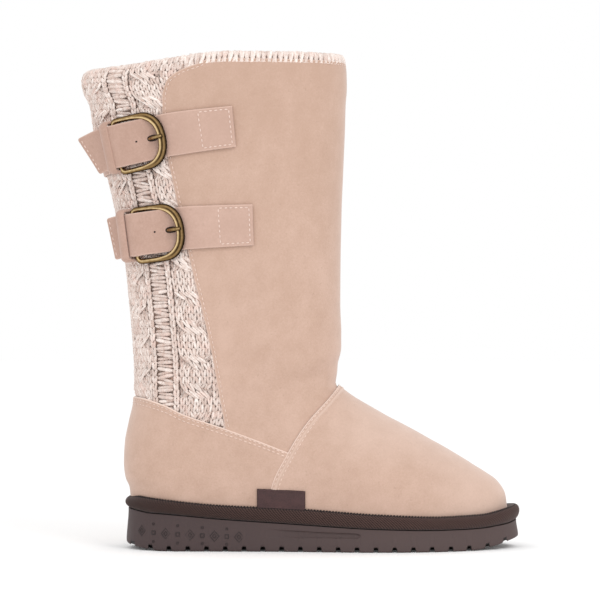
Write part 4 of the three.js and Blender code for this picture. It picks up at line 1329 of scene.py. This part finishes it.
# A ribbon's mesh: rounded edges, thin closed ends, tail cut at a slant, and a dip under the stitched box
# and under the row of stitches that stands in from the tail
def ribbonPoints(ribbon, count, box, slant=0.0, corner=0.0, tail=None):
    half, r, long = ribbon.wide / 2, ribbon.thick / 2, ribbon.run[-1]
    arc = np.linspace(0, math.pi, 7)[1:-1]
    face = np.concatenate([np.linspace(-half + r, -half + 4, 10), np.linspace(-half + 5, half - 5, 14),
                           np.linspace(half - 4, half - r, 10)])
    loop = [(w, r) for w in face] + [(half - r + r * math.sin(a), r * math.cos(a)) for a in arc]
    loop += [(w, -r) for w in face[::-3]] + [(-half + r - r * math.sin(a), -r * math.cos(a)) for a in arc]
    loop = np.array(loop + loop[:1])
    near = np.array([0, 0.1, 0.3, 0.6, 1.0, 1.5])
    stations = np.concatenate([near, np.linspace(2, long - 2, count), long - near[::-1]])
    fromEnd = np.minimum(stations, long - stations)
    flat = np.maximum(np.sqrt(1 - (1 - np.clip(fromEnd / 0.6, 0, 1)) ** 2), 0.0)
    w, out = loop[:, 0], loop[:, 1]
    run = np.repeat(stations[:, None], len(loop), 1)
    left = long - run
    draw = 0
    if corner:
        draw = corner - np.sqrt(np.maximum(corner ** 2 - np.clip(corner - left, 0, corner) ** 2, 0))
    across = w[None] * (1 - draw / half)
    # the last stretch is sheared, so the end is cut at a slant
    sheared = run + slant * (w[None] / half) * ease(run, long - 14, long)
    dip = 0.2 * np.exp(-(boxDistance(run, across, box) / 0.5) ** 2)
    if tail is not None:
        dip += 0.2 * np.exp(-((run - (long - tail)) / 0.5) ** 2)
    dip = np.where(out[None] > 0.5 * r, dip, 0)
    # painted highlight along the strap's rounded edges
    edge = ease(np.abs(w[None]), half - 1.1, half - 0.3) * (out[None] > -0.2 * r)
    paintedLightAndWear = np.zeros(run.shape) + 0.4 * edge
    points = ribbon.at(sheared, across / half, out[None] * flat[:, None] - dip)
    return points, np.stack(np.broadcast_arrays(run, w[None]), -1), paintedLightAndWear


# Rows of stitches round a box on a ribbon
def boxRows(ribbon, box, out):
    left, right, low, high = box
    corners = ((left, low), (right, low), (right, high), (left, high), (left, low))
    rows = []
    for a, b in zip(corners[:-1], corners[1:]):
        run, across = np.linspace(a[0], b[0], 12), np.linspace(a[1], b[1], 12)
        rows.append((ribbon.at(run, across / (ribbon.wide / 2), out), ribbon.outAt(run)))
    return rows


def makeStrap(name, buckle):
    half = strapSize["wide"] / 2
    lines = []
    for across in (-half, 0, half):
        # a little narrower at the sewn end, and drawn up against the frame's upper arm
        laid = [buckle.onShaft(buckle.end + (buckle.bar - buckle.end) * share,
                               strapSize["lift"] + strapSize["thick"] / 2,
                               across * (0.955 + 0.045 * share) + buckle.row["rise"] * share ** 2)
                for share in (0, 0.2, 0.4, 0.6, 0.75, 0.86)]
        through = []
        for way in strapWay:
            along, out = throughBuckle(*way)
            along = along * (buckle.row["tail"] if along < 0 else 1)
            # the tail hangs down past the keeper
            past = along + 0.3 * strapSize["tail"]
            turn = buckle.row["droop"] * float(ease(-past, 0, 0.7 * strapSize["tail"]))
            dip = across * math.cos(turn) + min(past, 0) * math.sin(turn)
            along = along - across * math.sin(turn) * (past < 0)
            through.append(buckle.local(along, out, dip + buckle.row["rise"]))
        lines.append(laid + through)
    ribbon = Ribbon(lines, strapSize["wide"], strapSize["thick"], 150, -1)
    long, box = ribbon.run[-1], patch["box"]
    slant = buckle.row["slant"]
    points, flat, paintedLightAndWear = ribbonPoints(ribbon, 150, box, slant, patch["corner"], patch["tail"])
    # paler towards the sewn end
    paintedLightAndWear = paintedLightAndWear + 0.24 * ease(-flat[..., 0], -62, -24)
    node = f"strap_{name}"
    sheetPiece(f"band_{name}", points, node, strapSuede, flat, joined=True, paintedLightAndWear=paintedLightAndWear)
    top = strapSize["thick"] / 2 - sewn["sunk"]
    rows = boxRows(ribbon, box, top)
    across = np.linspace(-half + 2, half - 2, 12)
    run = long - patch["tail"] + slant * across / half
    rows.append((ribbon.at(run, across / half, top), ribbon.outAt(run)))
    stitchPiece(f"band_stitches_{name}", rows, node, thread, sewn["pitch"], sewn["size"])
    return ribbon


# Where along a ribbon it passes a place of the buckle, measured from the hinge
def runAt(buckle, ribbon, along):
    place = (ribbon.lines[1] - buckle.origin) @ buckle.u
    passed = np.nonzero(place < along)[0][0]
    return ribbon.run[passed]


# The slot the prong comes up through, and the empty pinhole behind it, as flat dark discs on the strap:
# painted shade for their depths
def makeHoles(name, buckle, ribbon):
    shape = grainShape(1, 1, 1, 0, 20, 9)
    places, axes = [], []
    top = strapSize["thick"] / 2
    for start, stop, wide in ((0.66, 0.88, 4.3), (0.445, 0.485, 1.2)):
        runs = np.array([runAt(buckle, ribbon, share * buckleSize["long"]) for share in (start, stop)])
        ends = ribbon.at(runs, 0, top)
        middle = ribbon.at(runs.mean(), 0, top + 0.02)
        out = ribbon.outAt(runs.mean())
        along = ends[1] - ends[0]
        along = along - out * np.dot(along, out)
        places.append(middle)
        axes.append(np.stack([along, np.cross(out, unit(along)) * wide, out * 0.35]))
    node = f"strap_{name}"
    copiesPiece(f"holes_{name}", shape, np.array(places), np.array(axes), node, holeShade)
    shape.free()


def makeChape(name, buckle):
    half = strapSize["chapeWide"] / 2
    level = buckle.heightOf(buckle.end)
    start = float(angleAt(level, buckle.inner, True))
    stop = math.pi
    while np.dot(buckle.origin - surfacePoint(level, stop, strapSize["lift"]), buckle.u) > strapSize["leave"]:
        stop += 0.02
    lines = []
    for across in (-half, 0, half):
        turns = np.linspace(start, stop, 26)
        x = lastPoint(level, turns)[:, 0]
        levels = buckle.heightOf(x) + across
        round = list(surfacePoint(levels, turns, strapSize["lift"] + strapSize["chapeThick"] / 2))
        fold = [buckle.local(along * foldRadius, out * foldRadius, across) for along, out in foldWay]
        lines.append(round + fold)
    ribbon = Ribbon(lines, strapSize["chapeWide"], strapSize["chapeThick"], 220)
    points, flat, paintedLightAndWear = ribbonPoints(ribbon, 220, patch["inner"])
    node = f"chape_{name}"
    sheetPiece(f"loop_{name}", points, node, strapSuede, flat, joined=True, paintedLightAndWear=paintedLightAndWear)
    rows = boxRows(ribbon, patch["inner"], strapSize["chapeThick"] / 2 - sewn["sunk"])
    stitchPiece(f"loop_stitches_{name}", rows, node, thread, sewn["pitch"], sewn["size"])


def roundedPath(wide, high, corner, count=10):
    x, y = wide / 2 - corner, high / 2 - corner
    path = []
    for cx, cy, begin in ((x, y, 0), (-x, y, 1), (-x, -y, 2), (x, -y, 3)):
        turns = (begin + np.linspace(0, 1, count)) * math.pi / 2
        path += [(cx + corner * math.cos(a), cy + corner * math.sin(a)) for a in turns]
    return np.array(path)


# A closed path with points added, so that no step is much longer than size
def finer(path, size):
    path = np.array(path)
    steps = []
    for a, b in zip(path, np.roll(path, -1, 0)):
        cut = max(1, int(np.hypot(*(b - a)) / size))
        steps += [a + (b - a) * k / cut for k in range(cut)]
    return np.array(steps)


def makeKeeper(name, buckle):
    wide = strapSize["wide"] + 2 * buckleSize["clear"] + strapSize["keeperThick"]
    high = 2 * strapSize["chapeThick"] + strapSize["thick"] + strapSize["slack"] + strapSize["keeperThick"]
    ring = finer(roundedPath(wide, high, 2.4, 8), 2)
    along, out = throughBuckle(buckle.row["keeper"], keeperPlace["out"])
    tilt = keeperPlace["tilt"]
    axis = buckle.u * math.cos(tilt) + buckle.n * math.sin(tilt)
    up = -buckle.u * math.sin(tilt) + buckle.n * math.cos(tilt)
    centre = buckle.local(along, out, buckle.row["rise"])
    path = centre + ring[:, :1] * buckle.v + ring[:, 1:] * up
    half, r = strapSize["keeperWide"] / 2, strapSize["keeperThick"] / 2
    arc = np.linspace(0, math.pi, 6)[1:-1]
    face = np.linspace(-half + r, half - r, 9)
    loop = [(w, r + strapSize["puff"] * (1 - (w / half) ** 2)) for w in face]
    loop += [(half - r + r * math.sin(a), r * math.cos(a)) for a in arc]
    loop += [(w, -r) for w in face[::-4]] + [(-half + r - r * math.sin(a), -r * math.cos(a)) for a in arc]
    loop = np.array(loop + loop[:1])
    points = sweep(path, loop, axis, closed=True)
    sheetPiece(f"keeper_loop_{name}", points, f"keeper_{name}", strapSuede, joined=True)


def makeFrame(name, buckle):
    half = strapSize["wide"] / 2 + buckleSize["clear"] + buckleSize["wire"] / 2
    long, corner, small = buckleSize["long"], buckleSize["corner"], buckleSize["hingeCorner"]
    path = [(small - small * math.sin(a), -half + small - small * math.cos(a))
            for a in np.linspace(math.pi / 2, 0, 6)]
    bow = np.linspace(-math.pi / 2, math.pi / 2, 40)
    square = buckleSize["square"]
    path += [(long - corner + corner * abs(math.cos(a)) ** square,
              half * math.copysign(abs(math.sin(a)) ** square, a)) for a in bow]
    path += [(small - small * math.sin(a), half - small + small * math.cos(a))
             for a in np.linspace(0, math.pi / 2, 6)]
    flat = finer(path, 1.6)
    # the outer bar is cast broader towards the inside, with a channel along its face
    channel = ease(flat[:, 0], long * 0.4, long - 3)
    tangent = alongClosed(flat)
    flat = flat + np.stack([-tangent[:, 1], tangent[:, 0]], -1) * (buckleSize["broad"] * channel)[:, None]
    points = np.array([buckle.local(x, 0, y) for x, y in flat])
    turns = np.linspace(0, 2 * math.pi, 37)
    dip = np.exp(-((turns[None] - math.pi / 2) / 0.26) ** 2)
    radius = buckleSize["wire"] / 2 * (1 - 0.3 * channel[:, None] * dip)
    broad = 1 + buckleSize["broad"] / (buckleSize["wire"] / 2) * channel[:, None]
    section = np.stack([np.cos(turns) * radius * broad, np.sin(turns) * radius], -1)
    rings = sweep(points, section, np.cross(buckle.n, alongClosed(points)), closed=True)
    # brightest a little to the outside of the crest and along both lips of the channel, part rubbed polish
    # and part painted highlight
    crest = np.cos(turns[None] - math.pi / 2 + 0.3) * np.ones(rings.shape[:2])
    channel = np.append(channel, channel[0])[:, None]
    lips = np.exp(-((np.abs(turns[None] - math.pi / 2) - 0.55) / 0.25) ** 2)
    crest = crest + channel * (0.2 * lips - 0.75 * dip)
    sheetPiece(f"frame_{name}", rings, f"buckle_{name}", brass, joined=True, paintedLightAndWear=crest)


def makeProng(name, buckle):
    path = fineRun([buckle.local(*throughBuckle(*way), buckle.row["rise"]) for way in prongWay], 40)
    section = circle(buckleSize["prong"] / 2, 14)
    ends = np.concatenate([[0.5, 0.8, 0.95], np.ones(34), [0.95, 0.8, 0.5]])
    rings = capped(sweep(path, section[None] * ends[:, None, None], buckle.v))
    turns = np.linspace(0, 2 * math.pi, rings.shape[1])
    # bright along its top side, part rubbed polish and part painted highlight
    crest = 0.9 * np.cos(turns[None] - math.pi / 2) * np.ones(rings.shape[:2])
    sheetPiece(f"pin_{name}", rings, f"prong_{name}", brass, joined=True, paintedLightAndWear=crest)


# edge: colour of the painted highlight along the strap's edges
strapLook = dict(dark=(177, 145, 130), light=(199, 167, 153), edge=(222, 192, 177), nap=700, grain=2600,
                 bump=0.0001)
strapSuede = suedeFinish("strap_suede", strapLook)
for name, row in straps.items():
    buckle = Buckle(row)
    ribbon = makeStrap(name, buckle)
    makeHoles(name, buckle, ribbon)
    makeChape(name, buckle)
    makeKeeper(name, buckle)
    makeFrame(name, buckle)
    makeProng(name, buckle)
print("straps made")


# Side tab in the seam, left bare
tab = dict(left=54.6, wide=32.4, high=13)


def makeTab():
    across = np.concatenate([[0, 0.004, 0.012], np.linspace(0.03, 0.97, 120), [0.988, 0.996, 1]])
    up = np.concatenate([[0, 0.01, 0.03], np.linspace(0.07, 0.93, 60), [0.97, 0.99, 1]])
    x = tab["left"] + tab["wide"] * np.broadcast_to(across[None], (len(up), len(across)))
    z = seamLine(x) + 0.3 + tab["high"] * up[:, None]
    level = levelAt(z, x)
    edge = np.minimum(np.minimum(across[None], 1 - across[None]) * tab["wide"],
                      np.minimum(up[:, None], 1 - up[:, None]) * tab["high"])
    # woven ribbon: fine raised picks in a basket weave, and a firmer turned edge
    weave = 0.07 * np.sin(2 * math.pi * x / 1.1) * np.sin(2 * math.pi * z / 1.1)
    border = 0.25 * np.exp(-((edge - 0.8) / 0.5) ** 2)
    offset = 1.9 + rolled(edge, 0.9, 0.5) - 0.5 + weave * ease(edge, 1.4, 2) + border
    grid = surfacePoint(level, angleAt(level, x), offset)
    flat = np.stack(np.broadcast_arrays(across[None] * tab["wide"], up[:, None] * tab["high"]), -1)
    sheetPiece("bare_tab", grid, "side_tab", tabCloth, flat)


makeTab()


# Inside: pile lining down the wall and over the insole. Depths in from the last, and height over the seam.
lining = dict(wall=4.0, back=1.6, insole=3.6)


def makeLining():
    levels = np.concatenate([np.linspace(seamLevel + 1, 60, 22), np.linspace(64, 330, 90)])
    turns = np.linspace(0, 2 * math.pi, 201)
    levelGrid, turnGrid = np.meshgrid(levels, turns, indexing="ij")
    deep = -lining["wall"] - lining["back"] * ease(-np.cos(turnGrid), 0.1, 0.6) * ease(levelGrid, 60, 110)
    grid = surfacePoint(levelGrid, turnGrid, deep)
    sheetPiece("pile_lining", grid, "upper", fleece, joined=True)
    inset = surfacePoint(np.full(turns.shape, seamLevel + 4), turns, np.full(turns.shape, -3.9))
    middle = swingAt(inset[:, 0])
    rows = []
    for share in (0, 0.25, 0.5, 0.7, 0.85, 0.95, 1):
        row = inset.copy()
        row[:, 1] = middle + (inset[:, 1] - middle) * share
        row[:, 2] = seamLine(inset[:, 0]) + lining["insole"] + 0.8 * share ** 4
        rows.append(row)
    sheetPiece("pile_insole", np.array(rows), "insole", fleece, joined=True)


makeLining()
print("inside made")

# Studio: camera straight on from the outer side, pale floor, soft light all round

studio = dict(eye=(0.0833, -2.0, 0.168), sensor=36, lens=176.47, white=0.965, rough=0.9, glow=0.045, floor=6,
              aim=(0.08, 0, 0.15), sky=1.0)
lamps = dict(key=dict(place=(1.0, -1.5, 1.7), size=0.9, watts=11.0),
             fill=dict(place=(-1.0, -1.8, 1.0), size=1.4, watts=3.0))
view = bpy.data.cameras.new("view")
view.sensor_width = studio["sensor"]
view.lens = studio["lens"]
eye = newObject("view", view)
eye.location = studio["eye"]
eye.rotation_euler = (math.pi / 2, 0, 0)
bpy.context.scene.camera = eye

floorMesh = bpy.data.meshes.new("floor")
slab = bmesh.new()
bmesh.ops.create_grid(slab, x_segments=1, y_segments=1, size=studio["floor"])
slab.to_mesh(floorMesh)
slab.free()
floor = newObject("floor", floorMesh)
floorBoard = Board("floor_paint")
white = (studio["white"],) * 3 + (1,)
floorPaint = floorBoard.surface(white, studio["rough"], specular=0.0, glow=white, glowStrength=studio["glow"])
floorMesh.materials.append(floorPaint)

for name, row in lamps.items():
    lamp = bpy.data.lights.new(name, "AREA")
    lamp.shape = "DISK"
    lamp.size = row["size"]
    lamp.energy = row["watts"]
    holder = newObject(name, lamp)
    holder.location = row["place"]
    towards = Vector(studio["aim"]) - Vector(row["place"])
    holder.rotation_euler = towards.to_track_quat("-Z", "Y").to_euler()

world = bpy.data.worlds.new("studio")
world.use_nodes = True
world.node_tree.nodes["Background"].inputs["Color"].default_value = (1, 1, 1, 1)
world.node_tree.nodes["Background"].inputs["Strength"].default_value = studio["sky"]
bpy.context.scene.world = world
bpy.context.scene.view_settings.view_transform = "Standard"
print("studio set")
